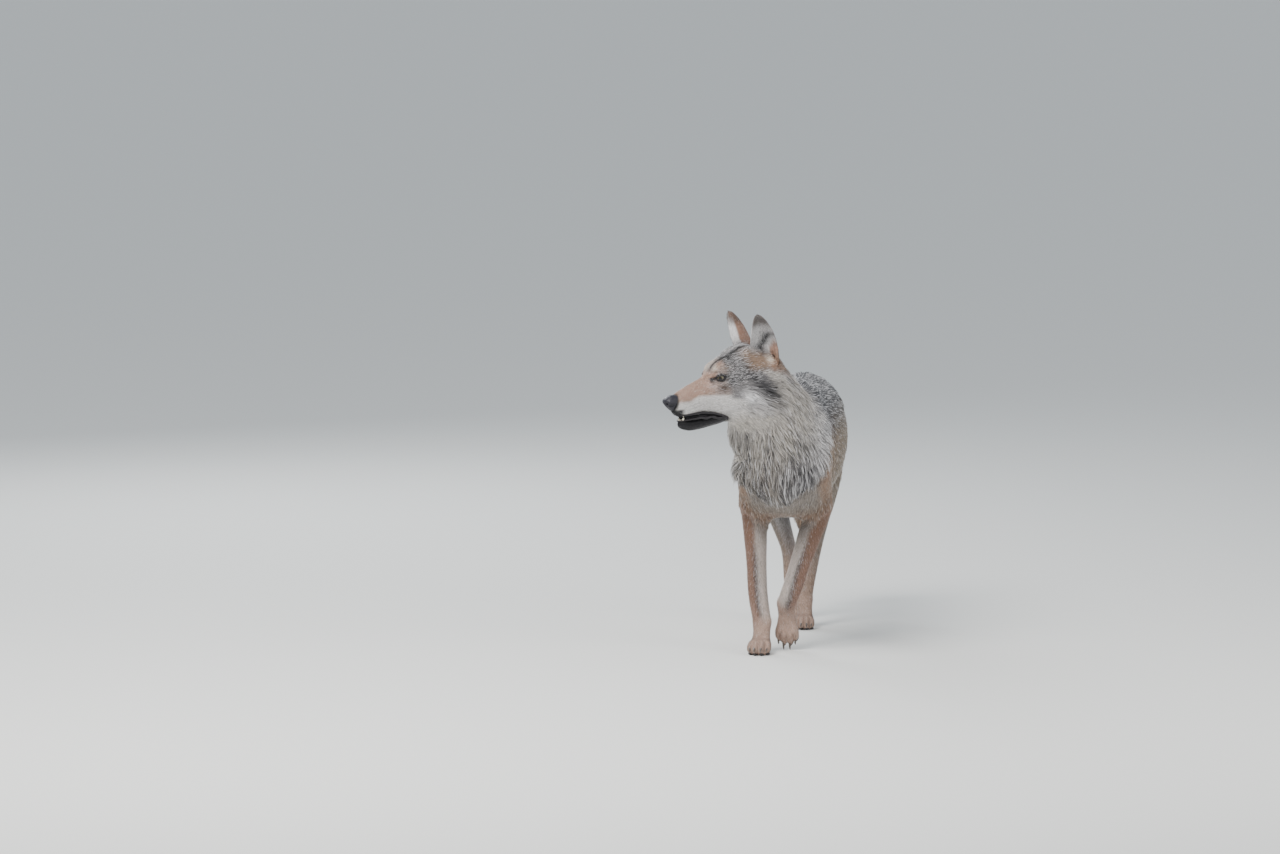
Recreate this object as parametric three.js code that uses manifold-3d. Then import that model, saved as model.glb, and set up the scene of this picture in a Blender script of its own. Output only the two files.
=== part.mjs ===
// A grey wolf at life size, walking, with its head turned to its right and its mouth a little open.
// Millimetres, +Z up. The wolf faces -Y and its left side is +X.
//
// The animal, out to the tips of its coat, is one smooth solid field: muscles and bulges melted
// together. Each node of flesh is a sleeve of that field, cast outwards from a spine of its own and
// trimmed by flat cuts. Lengths below are measured from the ground under the withers.
import * as THREE from "three";
import { mergeVertices } from "three/addons/utils/BufferGeometryUtils.js";
import Module from "manifold-3d";

const wasm = await Module();
wasm.setup();

// Driving dimensions
const WITHERS = 650; // height over the shoulder blades
const BRISKET = 311; // height under the breastbone
const CHEST_HALF = 104; // half the width of the rib cage
const HEAD_AT = [-44, -200, 669]; // joint of the head with the neck
const HEAD_YAW = -52; // degrees the head is turned, to the wolf's right
const HEAD_DROP = 2; // degrees the nose is lowered
const MUZZLE_HALF = 27; // half the width of the middle of the muzzle
const MOUTH_GAPE = 5; // degrees between the lips
const EAR_WIDTH = 62;
const EAR_SKIN = 5; // thickness of the ear
const EYE_RADIUS = 12;
const PAW_HALF = 29.5; // half the width of a forepaw
const SEAM = 0.3; // gap between two nodes that meet
const SOFT = 26; // how far muscles melt into each other on the body
const HEAD_SOFT = 12; // the same on the head
const PAW_SOFT = 5; // the same between the toes

const UP = new THREE.Vector3(0, 0, 1);
const BACK = new THREE.Vector3(0, 1, 0);
const SIDES = { left: 1, right: -1 };

const at = (x, y, z) => new THREE.Vector3(x, y, z);
const between = (a, b, share) => a.clone().lerp(b, share);
const { clamp, degToRad, lerp } = THREE.MathUtils;

// A frame whose -Y end is lowered by drop, then tipped by roll about Y and turned by yaw about Z.
function frameAt(origin, yaw = 0, drop = 0, roll = 0) {
  const turn = new THREE.Euler(degToRad(drop), degToRad(roll), degToRad(yaw), "ZYX");
  return new THREE.Matrix4().makeRotationFromEuler(turn).setPosition(origin);
}

// ---- The field: each function returns p => distance to a surface, negative inside ----

function ellipsoidDistance(x, y, z, a, b, c) {
  const near = Math.hypot(x / a, y / b, z / c);
  const steep = Math.hypot(x / (a * a), y / (b * b), z / (c * c));
  return steep < 1e-9 ? -Math.min(a, b, c) : (near * (near - 1)) / steep;
}

// An ellipsoid with the given semi-axes in a frame of its own.
function bulge(centre, [a, b, c], yaw = 0, drop = 0, roll = 0) {
  const home = frameAt(centre, yaw, drop, roll).invert();
  const q = at(0, 0, 0);
  return (p) => {
    q.copy(p).applyMatrix4(home);
    return ellipsoidDistance(q.x, q.y, q.z, a, b, c);
  };
}

// Flesh through stations [point, half width, half depth]. Depth is measured along deep.
function muscle(stations, deep, stepsPerStation = 3) {
  const path = new THREE.CatmullRomCurve3(stations.map((s) => s[0]));
  const sizes = new THREE.CatmullRomCurve3(stations.map((s) => at(s[1], s[2], 0)));
  const count = (stations.length - 1) * stepsPerStation;
  const pieces = [];
  for (let i = 0; i < count; i++) {
    const from = path.getPoint(i / count);
    const along = path.getPoint((i + 1) / count).sub(from);
    const length = along.length();
    along.divideScalar(length);
    const side = deep.clone().cross(along).normalize();
    const depth = along.clone().cross(side);
    const start = sizes.getPoint(i / count);
    const end = sizes.getPoint((i + 1) / count);
    pieces.push({ from, along, length, side, depth, start, end });
  }
  const r = at(0, 0, 0);
  return (p) => {
    let nearest = 1e6;
    for (const { from, along, length, side, depth, start, end } of pieces) {
      const share = clamp(r.copy(p).sub(from).dot(along) / length, 0, 1);
      r.addScaledVector(along, -share * length);
      const wide = lerp(start.x, end.x, share);
      const high = lerp(start.y, end.y, share);
      const rounding = Math.min(wide, high);
      const d = ellipsoidDistance(r.dot(side), r.dot(depth), r.dot(along), wide, high, rounding);
      nearest = Math.min(nearest, d);
    }
    return nearest;
  };
}

function melt(softness, fields) {
  return (p) => {
    let d = 1e6;
    for (const field of fields) {
      const e = field(p);
      const close = Math.max(softness - Math.abs(d - e), 0) / softness;
      d = Math.min(d, e) - (close * close * softness) / 4;
    }
    return d;
  };
}

// A field that is described in a frame, for points of the world.
function placed(frame, field) {
  const home = frame.clone().invert();
  const q = at(0, 0, 0);
  return (p) => field(q.copy(p).applyMatrix4(home));
}

const swollen = (field, by) => (p) => field(p) - by;

// ---- Surfaces ----

// Joins rings of equal count, each running anticlockwise seen from the last one, between two tips.
function loft(rings, firstTip, lastTip) {
  const around = rings[0].length;
  const points = [...rings.flat(), firstTip, lastTip];
  const top = (rings.length - 1) * around;
  const faces = [];
  for (let k = 0; k < around; k++) {
    const next = (k + 1) % around;
    faces.push(points.length - 2, next, k, points.length - 1, top + k, top + next);
    for (let a = 0; a < top; a += around) {
      const b = a + around;
      faces.push(a + k, a + next, b + next, a + k, b + next, b + k);
    }
  }
  return new THREE.BufferGeometry().setFromPoints(points).setIndex(faces);
}

// Three directions at a share of a path: along it, to its side, and nearest to deep.
function heading(path, share, deep) {
  const along = path.getTangentAt(share);
  const side = deep.clone().cross(along).normalize();
  return { middle: path.getPointAt(share), along, side, depth: along.clone().cross(side) };
}

// How far the field reaches from a point that is inside it.
function reachOf(field, from, direction, most) {
  const p = at(0, 0, 0);
  let inside = 0;
  let outside = most;
  for (let walked = 0; walked < most; ) {
    const d = field(p.copy(from).addScaledVector(direction, walked));
    if (d > 0) {
      outside = walked;
      break;
    }
    inside = walked;
    walked += Math.max(-d / 2, 0.8);
  }
  for (let i = 0; i < 12; i++) {
    const middle = (inside + outside) / 2;
    if (field(p.copy(from).addScaledVector(direction, middle)) > 0) outside = middle;
    else inside = middle;
  }
  return inside;
}

// The field's skin round a spine: rings of spokes, and a dome of spokes at each end.
function sleeve(field, spine, deep, { rings, around, most, dome = 4 }) {
  const path = new THREE.CatmullRomCurve3(spine);
  const cast = (share, lean, turn) => {
    const { middle, along, side, depth } = heading(path, share, deep);
    const spoke = side.multiplyScalar(Math.cos(turn) * Math.cos(lean));
    spoke.addScaledVector(depth, Math.sin(turn) * Math.cos(lean));
    spoke.addScaledVector(along, Math.sin(lean));
    return middle.addScaledVector(spoke, reachOf(field, middle, spoke, most));
  };
  const row = (share, lean) =>
    Array.from({ length: around }, (_, k) => cast(share, lean, (2 * Math.PI * k) / around));
  const rows = [];
  for (let i = dome - 1; i > 0; i--) rows.push(row(0, (-Math.PI / 2) * (i / dome)));
  for (let i = 0; i < rings; i++) rows.push(row(i / (rings - 1), 0));
  for (let i = 1; i < dome; i++) rows.push(row(1, (Math.PI / 2) * (i / dome)));
  return loft(rows, cast(0, -Math.PI / 2, 0), cast(1, Math.PI / 2, 0));
}

// A curved spike: round rings through stations [point, radius], the last one its point.
function spike(stations, deep, around) {
  const path = new THREE.CatmullRomCurve3(stations.map((s) => s[0]));
  const last = stations.length - 1;
  const rings = stations.slice(0, last).map(([, radius], i) => {
    const { middle, side, depth } = heading(path, i / last, deep);
    return Array.from({ length: around }, (_, k) => {
      const turn = (2 * Math.PI * k) / around;
      const out = middle.clone().addScaledVector(side, radius * Math.cos(turn));
      return out.addScaledVector(depth, radius * Math.sin(turn));
    });
  });
  return loft(rings, stations[0][0], stations[last][0]);
}

// ---- Solids: manifold-3d joins and cuts closed geometries ----

function solid(geometry) {
  const bare = geometry.clone();
  bare.deleteAttribute("normal");
  bare.deleteAttribute("uv");
  const merged = mergeVertices(bare, 1e-4);
  const vertProperties = Float32Array.from(merged.attributes.position.array);
  const triVerts = Uint32Array.from(merged.index.array);
  return new wasm.Manifold(new wasm.Mesh({ numProp: 3, vertProperties, triVerts }));
}

// The geometry of the largest body of a solid.
function geometryOf(made) {
  const largest = made.decompose().sort((a, b) => b.volume() - a.volume())[0];
  const mesh = largest.getMesh();
  const flat = new Float32Array(mesh.numVert * 3);
  for (let i = 0; i < mesh.numVert; i++) {
    flat.set(mesh.vertProperties.subarray(i * mesh.numProp, i * mesh.numProp + 3), i * 3);
  }
  const geometry = new THREE.BufferGeometry();
  geometry.setAttribute("position", new THREE.BufferAttribute(flat, 3));
  geometry.setIndex(new THREE.BufferAttribute(Uint32Array.from(mesh.triVerts), 1));
  geometry.computeVertexNormals();
  return geometry;
}

// Regions to split solids by: each is grown => a solid, grown all round.

// All that lies behind a plane through a point.
function behind(point, facing) {
  const turn = new THREE.Quaternion().setFromUnitVectors(UP, facing.clone().normalize());
  return (grown) => {
    const block = new THREE.BoxGeometry(2000, 2000, 2000).translate(0, 0, grown - 1000);
    return solid(block.applyQuaternion(turn).translate(point.x, point.y, point.z));
  };
}

// One side's share of the space from front to rear, under a roof that rises outwards.
// Low down it can cross the middle, as a leg does that swings inwards.
function underRoof(side, front, rear, ridge, slope, crossing = 0) {
  const wide = 200;
  return (grown) => {
    const block = new THREE.BoxGeometry(wide + 2 * grown, rear - front + 2 * grown, 2);
    block.translate(side * (wide / 2 + SEAM), (front + rear) / 2, 0);
    const { position } = block.attributes;
    for (let i = 0; i < position.count; i++) {
      const x = position.getX(i);
      const isTop = position.getZ(i) > 0;
      const isInner = x * side < wide / 2;
      position.setZ(i, isTop ? ridge + slope * Math.abs(x) + grown : -100);
      position.setX(i, !isTop && isInner ? x - side * crossing : x);
    }
    return solid(block);
  };
}

// Splits a solid at a region: what lies in it, and what lies outside it.
const inside = (made, region) => made.intersect(region(-SEAM / 2));
const outside = (made, region) => made.subtract(region(SEAM / 2));

// ---- Trunk ----

// [distance behind the withers, sway to the left, drop of the back, rise of the underside, half width]
const TRUNK = [
  [-150, 0, 140, 74, CHEST_HALF - 46],
  [-110, 0, 75, 39, CHEST_HALF - 20],
  [-40, 0, 5, 7, CHEST_HALF - 6],
  [40, 2, 2, 0, CHEST_HALF],
  [140, 7, 20, 4, CHEST_HALF + 10],
  [255, 10, 27, 24, CHEST_HALF + 12],
  [360, 8, 27, 57, CHEST_HALF + 2],
  [450, 3, 27, 87, CHEST_HALF - 12],
  [535, 0, 53, 114, CHEST_HALF - 32],
  [562, 0, 80, 140, CHEST_HALF - 54],
];
const trunkStations = TRUNK.map(([behind, sway, drop, rise, half]) => {
  const top = WITHERS - drop;
  const under = BRISKET + rise;
  return [at(sway, behind, (top + under) / 2), half, (top - under) / 2];
});
const trunkFlesh = muscle(trunkStations, UP, 2);

// ---- Limbs ----

// A standing paw in its own frame: sole at z 0, toes towards -Y. Sizes are shares of PAW_HALF.
const TOES = [[-0.68, 1.12], [-0.26, 1.5], [0.26, 1.5], [0.68, 1.12]]; // [out, reach]
const TOE_RADIUS = 0.36;
const STANDING_WRIST = at(0, 20, 74); // where the leg comes down into the paw
const HANGING_WRIST = at(0, 43, 54);

// The joints of each leg. The left foreleg swings: its wrist is bent and its claws just touch.
const LEGS = {
  foreleg_right: {
    top: at(-76, -108, 455),
    middle: at(-80, 18, 338),
    low: at(-67, -24, 133),
    paw: frameAt(at(-57, -57, 0), -4),
    wrist: STANDING_WRIST,
    size: 1,
    cut: underRoof(-1, -190, 140, 268, 0.8),
  },
  foreleg_left: {
    top: at(74, -100, 455),
    middle: at(72, 10, 335),
    low: at(10, -34, 138),
    paw: frameAt(at(2, 22, 61), -4, 76),
    wrist: HANGING_WRIST,
    size: 1,
    cut: underRoof(1, -190, 140, 268, 0.8, 70),
  },
  hindleg_right: {
    top: at(-57, 475, 530),
    middle: at(-78, 420, 345),
    low: at(-39, 548, 172),
    paw: frameAt(at(-32, 515, 0), -3),
    wrist: STANDING_WRIST,
    size: 0.9,
    cut: underRoof(-1, 320, 620, 342, 0.42),
  },
  hindleg_left: {
    top: at(57, 475, 530),
    middle: at(62, 380, 355),
    low: at(26, 447, 170),
    paw: frameAt(at(12, 388, 0), 2),
    wrist: STANDING_WRIST,
    size: 0.9,
    cut: underRoof(1, 310, 620, 342, 0.42),
  },
};

function pawFlesh(wrist, size) {
  const unit = PAW_HALF * size;
  const inUnits = ([x, y, z, wide, high]) =>
    [at(x, y, z).multiplyScalar(unit), wide * unit, high * unit];
  const toes = TOES.map(([out, reach]) => {
    const knuckle = [out * 0.6, -0.1, 0.82, 0.4, 0.4];
    const bend = [out * 0.9, -0.62 * reach, 0.8, 0.38, 0.38];
    const end = [out, -reach, 0.38, TOE_RADIUS, TOE_RADIUS];
    return muscle([knuckle, bend, end].map(inUnits), UP, 2);
  });
  const pad = (y, z, sizes) => bulge(at(0, y * unit, z * unit), sizes.map((size) => size * unit));
  const heelPad = pad(0.08, 0.42, [0.78, 0.74, 0.47]);
  const sole = pad(-0.6, 0.38, [0.82, 0.9, 0.42]);
  const pastern = muscle(
    [
      inUnits([0, 0.12, 0.8, 0.74, 0.58]),
      [between(at(0, 0.12 * unit, 0.8 * unit), wrist, 0.5), 0.7 * unit, 0.56 * unit],
      [wrist, 0.72 * unit, 0.58 * unit],
    ],
    BACK,
    2,
  );
  return melt(PAW_SOFT, [...toes, heelPad, sole, pastern]);
}

function foreFlesh({ top, middle, low, paw, wrist }) {
  const side = Math.sign(top.x);
  return muscle(
    [
      [at(side * 48, 28, WITHERS - 45), 26, 46],
      [at(side * 64, -44, 520), 33, 64],
      [top, 34, 50],
      [between(top, middle, 0.5), 37, 58],
      [middle, 32, 46],
      [between(middle, low, 0.3), 28, 34],
      [between(middle, low, 0.65), 24, 26],
      [low, 23.5, 23],
      [wrist.clone().applyMatrix4(paw), 22, 18],
    ],
    BACK,
  );
}

function hindFlesh({ top, middle, low, paw, wrist }) {
  const side = Math.sign(top.x);
  const ankle = wrist.clone().applyMatrix4(paw);
  return muscle(
    [
      [top, 38, 74],
      [between(top, middle, 0.5).add(at(side * 6, 14, 0)), 40, 84],
      [middle, 34, 55],
      [between(middle, low, 0.35), 27, 44],
      [between(middle, low, 0.72), 21, 30],
      [low, 18.5, 27],
      [between(low, ankle, 0.5), 18, 20],
      [ankle, 18.5, 17],
    ],
    BACK,
  );
}

const limbs = {};
for (const [name, leg] of Object.entries(LEGS)) {
  const limb = name.startsWith("hind") ? hindFlesh(leg) : foreFlesh(leg);
  const paw = placed(leg.paw, pawFlesh(leg.wrist, leg.size));
  limbs[name] = { limb, whole: melt(PAW_SOFT * 2, [limb, paw]) };
}

// ---- Neck and head. Head points are (left, forward, up) from the joint with the neck ----

const HEAD = frameAt(at(...HEAD_AT), HEAD_YAW, HEAD_DROP);
const onHead = (left, forward, up) => at(left, -forward, up);
const headToWorld = (left, forward, up) => onHead(left, forward, up).applyMatrix4(HEAD);
const onBothSides = (make) => Object.values(SIDES).map(make);

const neckFlesh = muscle(
  [
    [at(0, -55, 495), 95, 128],
    [at(-6, -120, 535), 93, 115],
    [at(-20, -170, 582), 86, 96],
    [at(-36, -195, 625), 76, 80],
    [at(-44, -200, 660), 62, 62],
  ],
  UP,
);
const mane = melt(SOFT, [
  bulge(at(-5, -125, 465), [80, 60, 90]),
  bulge(at(-70, -172, 540), [68, 54, 74]),
]);

const skull = [
  bulge(onHead(0, 58, 22), [56, 68, 64]), // brain case
  bulge(onHead(0, 112, 34), [28, 34, 24]), // forehead
  bulge(onHead(0, -4, 8), [56, 50, 58]), // nape
  bulge(onHead(0, 66, -62), [42, 62, 36]), // throat
  ...onBothSides((side) => bulge(onHead(side * 20, 122, 31), [17, 24, 15])), // brow
  ...onBothSides((side) => bulge(onHead(side * 27, 98, -10), [20, 44, 30])), // cheekbone
  ...onBothSides((side) => bulge(onHead(side * 22, 84, -46), [30, 58, 40])), // chewing muscle
  ...onBothSides((side) => bulge(onHead(side * 42, 38, -24), [38, 66, 54], side * -14)), // ruff
];
const muzzle = muscle(
  [
    [onHead(0, 116, -14), MUZZLE_HALF + 10, 48],
    [onHead(0, 152, -26), MUZZLE_HALF + 6, 45],
    [onHead(0, 200, -34), MUZZLE_HALF, 36],
    [onHead(0, 238, -40), MUZZLE_HALF - 4, 25],
    [onHead(0, 254, -37), MUZZLE_HALF - 10, 17],
  ],
  UP,
);
const jaw = muscle(
  [
    [onHead(0, 96, -68), 38, 24],
    [onHead(0, 150, -83), 27, 17],
    [onHead(0, 205, -93), 18, 14],
    [onHead(0, 225, -90), 14, 11],
  ],
  UP,
);
const headFlesh = placed(HEAD, melt(HEAD_SOFT, [...skull, muzzle, jaw]));

// ---- Tail ----

const TAIL = [
  [at(0, 562, 552), 32, 32],
  [at(0, 616, 508), 34, 34],
  [at(0, 644, 432), 41, 41],
  [at(0, 656, 350), 43, 43],
  [at(0, 666, 275), 37, 37],
  [at(0, 672, 215), 23, 23],
  [at(0, 674, 191), 8, 8],
];
const tailFlesh = muscle(TAIL, BACK);

// ---- Nodes ----

const body = melt(SOFT, [
  trunkFlesh,
  neckFlesh,
  mane,
  headFlesh,
  ...Object.values(limbs).map(({ limb }) => limb),
  tailFlesh,
]);
const neckRoot = behind(at(0, -88, 540), at(-0.16, -0.72, 0.34));
const headRoot = behind(headToWorld(0, -14, 0), onHead(0.3, 1, 0.6).transformDirection(HEAD));
const tailRoot = behind(at(0, 612, 508), at(0, 0.8, -0.6));
const ground = behind(at(0, 0, -SEAM / 2), UP);
const offLegs = (made) => Object.values(LEGS).reduce((left, { cut }) => outside(left, cut), made);

const torsoSpine = [
  at(0, 520, 510),
  at(6, 300, 485),
  at(3, 60, 480),
  at(-2, -50, 500),
  at(-10, -120, 545),
  at(-32, -185, 620),
  at(-60, -212, 686),
];
const torso = solid(sleeve(body, torsoSpine, UP, { rings: 36, around: 22, most: 230 }));
const makeTrunk = () => offLegs(inside(inside(torso, neckRoot), tailRoot));
const makeNeck = () => offLegs(inside(outside(torso, neckRoot), headRoot));

function makeTail() {
  const spine = TAIL.map(([p]) => p);
  const whole = solid(sleeve(tailFlesh, spine, BACK, { rings: 13, around: 14, most: 75, dome: 3 }));
  return outside(whole, tailRoot);
}

// A leg down to the ankle, its paw and the claws of the paw.
function makeLeg(name, { top, middle, low, paw, wrist, cut, size }) {
  const { whole } = limbs[name];
  const ankle = wrist.clone().applyMatrix4(paw);
  const down = ankle.clone().sub(low).normalize();
  const pawRoot = behind(ankle, down.clone().negate());
  const legSpine = [between(top, middle, 0.5), middle, low, ankle.clone().addScaledVector(down, 12)];
  const withTrunk = melt(SOFT, [trunkFlesh, neckFlesh, mane, whole]);
  const legSleeve = sleeve(withTrunk, legSpine, BACK, { rings: 15, around: 14, most: 130, dome: 3 });
  const leg = outside(inside(solid(legSleeve), cut), pawRoot);

  const unit = PAW_HALF * size;
  const inPaw = (y, z) => at(0, y * unit, z * unit).applyMatrix4(paw);
  const across = at(1, 0, 0).transformDirection(paw);
  const pawSpine = [
    ankle.clone().addScaledVector(down, -12),
    ankle,
    inPaw(0.15, 1.2),
    inPaw(-0.35, 0.62),
    inPaw(-0.7, 0.46),
  ];
  const footOf = (field) =>
    solid(sleeve(field, pawSpine, across, { rings: 8, around: 18, most: 75, dome: 4 }));
  const foot = footOf(whole);
  const clearance = footOf(swollen(whole, SEAM));
  const claws = TOES.map(([out, reach]) => {
    const onToe = (on, up) => at(out * unit, -(reach + on) * unit, up * unit).applyMatrix4(paw);
    const stations = [
      [onToe(0.15, 0.6), 0.12 * unit],
      [onToe(0.5, 0.48), 0.085 * unit],
      [onToe(0.74, 0.16), 0],
    ];
    const claw = solid(spike(stations, UP.clone().transformDirection(paw), 5));
    return outside(claw.subtract(clearance), ground);
  });
  return [leg, outside(inside(foot, pawRoot), ground), ...claws];
}

// The mouth is a wedge of air that opens forwards from its corner.
const mouthCorner = headToWorld(0, 120, -73);
function mouthSide(degreesUp) {
  const tilt = degToRad(degreesUp);
  return behind(mouthCorner, onHead(0, -Math.sin(tilt), Math.cos(tilt)).transformDirection(HEAD));
}
const underLips = mouthSide(MOUTH_GAPE / 2);
const underGape = mouthSide(-MOUTH_GAPE / 2);
const beforeCorner = behind(mouthCorner, onHead(0, -1, 0).transformDirection(HEAD));
const mouthRegion = (grown) => underLips(grown).intersect(beforeCorner(grown));
const noseRoot = behind(headToWorld(0, 253, -30), onHead(0, -1, -0.3).transformDirection(HEAD));

const headSpine = [
  headToWorld(0, -40, 0),
  headToWorld(0, 60, 4),
  headToWorld(0, 140, -18),
  headToWorld(0, 200, -34),
  headToWorld(0, 250, -38),
];
const headSleeve = (field) => solid(sleeve(field, headSpine, UP, { rings: 26, around: 25, most: 140 }));
const headWhole = headSleeve(body);
const headSwollen = headSleeve(swollen(body, SEAM));

// A lower tooth that stands up from the jaw.
function tooth(left, forward, up, tall, radius) {
  const stations = [
    [headToWorld(left, forward, up - 5), radius],
    [headToWorld(left, forward, up), radius],
    [headToWorld(left, forward + 1, up + tall * 0.6), radius * 0.6],
    [headToWorld(left, forward, up + tall), 0],
  ];
  return solid(spike(stations, onHead(0, 1, 0).transformDirection(HEAD), 6));
}

const eyeAt = (side) => HEAD.clone().setPosition(headToWorld(side * 29, 131, 15));
const eyeball = (side, radius) => solid(new THREE.SphereGeometry(radius, 14, 10).applyMatrix4(eyeAt(side)));

function makeHead() {
  const cheeks = outside(outside(outside(headWhole, headRoot), mouthRegion), noseRoot);
  const sockets = Object.values(SIDES).map((side) => eyeball(side, EYE_RADIUS + SEAM));
  return sockets.reduce((left, socket) => left.subtract(socket), cheeks);
}

function makeJaw() {
  const spine = [headToWorld(0, 90, -68), headToWorld(0, 150, -84), headToWorld(0, 222, -90)];
  const whole = solid(sleeve(body, spine, UP, { rings: 11, around: 14, most: 75, dome: 3 }));
  const bare = inside(inside(whole, underGape), beforeCorner);
  return Object.values(SIDES)
    .flatMap((side) => [tooth(side * 10, 226, -80, 7, 2.6), tooth(side * 3.5, 231, -81, 3.5, 2.2)])
    .reduce((jawBone, grown) => jawBone.add(grown), bare);
}

// [share of the length, width, depth of the cup], both as shares of EAR_WIDTH
const EAR = [
  [0, 1.0, 0.5],
  [0.2, 1.04, 0.5],
  [0.42, 1.0, 0.44],
  [0.63, 0.84, 0.36],
  [0.81, 0.57, 0.27],
  [0.94, 0.27, 0.16],
];

// A cupped shell that opens outwards and forwards, its rims drawn together at the point.
function makeEar(side) {
  const path = new THREE.CatmullRomCurve3([
    headToWorld(side * 46, 16, 28),
    headToWorld(side * 51, 23, 62),
    headToWorld(side * 58, 34, 110),
    headToWorld(side * 64, 51, 158),
  ]);
  const across = onHead(side * -0.5, 0.87, 0).transformDirection(HEAD);
  const steps = 6;
  const rings = EAR.map(([share, wide, cup]) => {
    const middle = path.getPointAt(share);
    const along = path.getTangentAt(share);
    const rim = across.clone().addScaledVector(along, -across.dot(along)).normalize();
    const back = rim.clone().cross(along).multiplyScalar(side);
    const shellPoint = (i, skin) => {
      const swing = (i / steps - 0.5) * Math.PI;
      const p = middle.clone().addScaledVector(rim, wide * EAR_WIDTH * 0.5 * Math.sin(swing));
      return p.addScaledVector(back, cup * EAR_WIDTH * Math.cos(swing) - skin);
    };
    const outer = Array.from({ length: steps + 1 }, (_, i) => shellPoint(i, 0));
    const inner = Array.from({ length: steps + 1 }, (_, i) => shellPoint(steps - i, EAR_SKIN));
    const ring = [...outer, ...inner];
    return side > 0 ? ring : ring.reverse();
  });
  return solid(loft(rings, path.getPointAt(0), path.getPointAt(1))).subtract(headSwollen);
}

// ---- Assembly ----

const FUR = ["#8a8378", 0.9];
const PALE_FUR = ["#b8aa98", 0.9];
const RUST_FUR = ["#a0744f", 0.9];
const NOSE_SKIN = ["#1d1c20", 0.45];
const AMBER = ["#a58a4a", 0.15];
const HORN = ["#3a332d", 0.5];

const nodes = {
  trunk: [makeTrunk(), FUR],
  neck: [makeNeck(), FUR],
  tail: [makeTail(), FUR],
  head: [makeHead(), FUR],
  nose: [inside(outside(headWhole, mouthRegion), noseRoot), NOSE_SKIN],
  lower_jaw: [makeJaw(), PALE_FUR],
};
for (const [name, side] of Object.entries(SIDES)) {
  nodes[`eye_${name}`] = [eyeball(side, EYE_RADIUS), AMBER];
  nodes[`ear_${name}`] = [makeEar(side), RUST_FUR];
}
for (const [name, leg] of Object.entries(LEGS)) {
  const [upper, paw, ...claws] = makeLeg(name, leg);
  nodes[name] = [upper, RUST_FUR];
  nodes[name.replace("leg", "paw")] = [paw, PALE_FUR];
  const foot = name.replace("leg", "");
  claws.forEach((claw, i) => {
    nodes[`claw_${foot}_${i + 1}`] = [claw, HORN];
  });
}

const wolf = new THREE.Group();
wolf.name = "wolf";
for (const [name, [made, [color, roughness]]] of Object.entries(nodes)) {
  const material = new THREE.MeshStandardMaterial({ color, roughness, metalness: 0 });
  const mesh = new THREE.Mesh(geometryOf(made), material);
  mesh.name = name;
  wolf.add(mesh);
}

// The origin moves to the ground under the middle of the whole animal's box.
const box = new THREE.Box3().setFromObject(wolf);
const middle = box.getCenter(at(0, 0, 0));
for (const mesh of wolf.children) mesh.geometry.translate(-middle.x, -middle.y, -box.min.z);
export default wolf;
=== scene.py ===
import math

import bpy
import numpy as np
from mathutils import Matrix, Vector
from mathutils.bvhtree import BVHTree
from mathutils.kdtree import KDTree


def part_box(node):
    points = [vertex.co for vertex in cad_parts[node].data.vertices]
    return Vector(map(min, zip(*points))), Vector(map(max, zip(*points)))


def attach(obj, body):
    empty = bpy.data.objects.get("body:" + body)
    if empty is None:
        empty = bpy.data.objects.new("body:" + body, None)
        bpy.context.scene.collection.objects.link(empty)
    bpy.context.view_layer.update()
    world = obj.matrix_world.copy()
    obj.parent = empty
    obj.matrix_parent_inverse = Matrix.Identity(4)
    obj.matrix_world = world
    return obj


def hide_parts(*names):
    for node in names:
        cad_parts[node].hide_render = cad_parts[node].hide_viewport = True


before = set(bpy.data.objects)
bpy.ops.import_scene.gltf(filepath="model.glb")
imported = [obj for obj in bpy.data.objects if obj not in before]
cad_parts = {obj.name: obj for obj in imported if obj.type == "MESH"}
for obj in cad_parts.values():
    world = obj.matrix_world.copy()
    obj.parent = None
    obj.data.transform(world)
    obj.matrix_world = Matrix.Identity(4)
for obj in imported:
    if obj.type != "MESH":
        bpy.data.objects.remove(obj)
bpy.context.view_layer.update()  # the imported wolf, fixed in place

dice = np.random.default_rng(11)

# Points and lengths in the functions below are in millimetres, from the ground under the withers.
stance = {
    "withersFoot": (0.06753, -0.16461, 0.0),  # metres, in the frame's own axes
    "headDrop": 2,  # degrees
    "eyeAhead": 131,  # the eyes lie this far before the joint of head and neck
    "eyeAbove": 15,
    "eyeAside": 29,
    "pawSize": 29.5,
    "offFloor": 0.3,  # skin and tufts stay this far above the ground
}
millimetre = 0.001
foot = np.array(stance["withersFoot"])
upwards = np.array((0, 0, 1))


def boxCentre(node):
    low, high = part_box(node)
    return (np.array(low) + np.array(high)) / 2


def toWolf(points):
    return (np.asarray(points, float) - foot) / millimetre


def toWorld(points):
    return np.asarray(points, float) * millimetre + foot


def unit(vectors):
    vectors = np.asarray(vectors, float)
    return vectors / np.maximum(np.linalg.norm(vectors, axis=-1, keepdims=True), 1e-9)


def ramp(value, start, end):
    share = np.clip((value - start) / (end - start), 0, 1)
    return share * share * (3 - 2 * share)


def hump(value, centre, width):
    return np.exp(-(((value - centre) / width) ** 2))


def blend(a, b, share):
    share = np.asarray(share, float)
    if np.ndim(a) > np.ndim(share) or np.ndim(b) > np.ndim(share):
        share = share[..., None]
    return a + (np.asarray(b) - a) * share


def fromLine(a, b, stops):
    # The distance of each point (a, b) from a line through the stops.
    nearest = np.full(len(a), 1e6)
    for (a0, b0), (a1, b1) in zip(stops, stops[1:]):
        stretch = (a1 - a0) ** 2 + (b1 - b0) ** 2
        t = np.clip(((a - a0) * (a1 - a0) + (b - b0) * (b1 - b0)) / stretch, 0, 1)
        nearest = np.minimum(nearest, np.hypot(a - a0 - t * (a1 - a0), b - b0 - t * (b1 - b0)))
    return nearest


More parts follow.
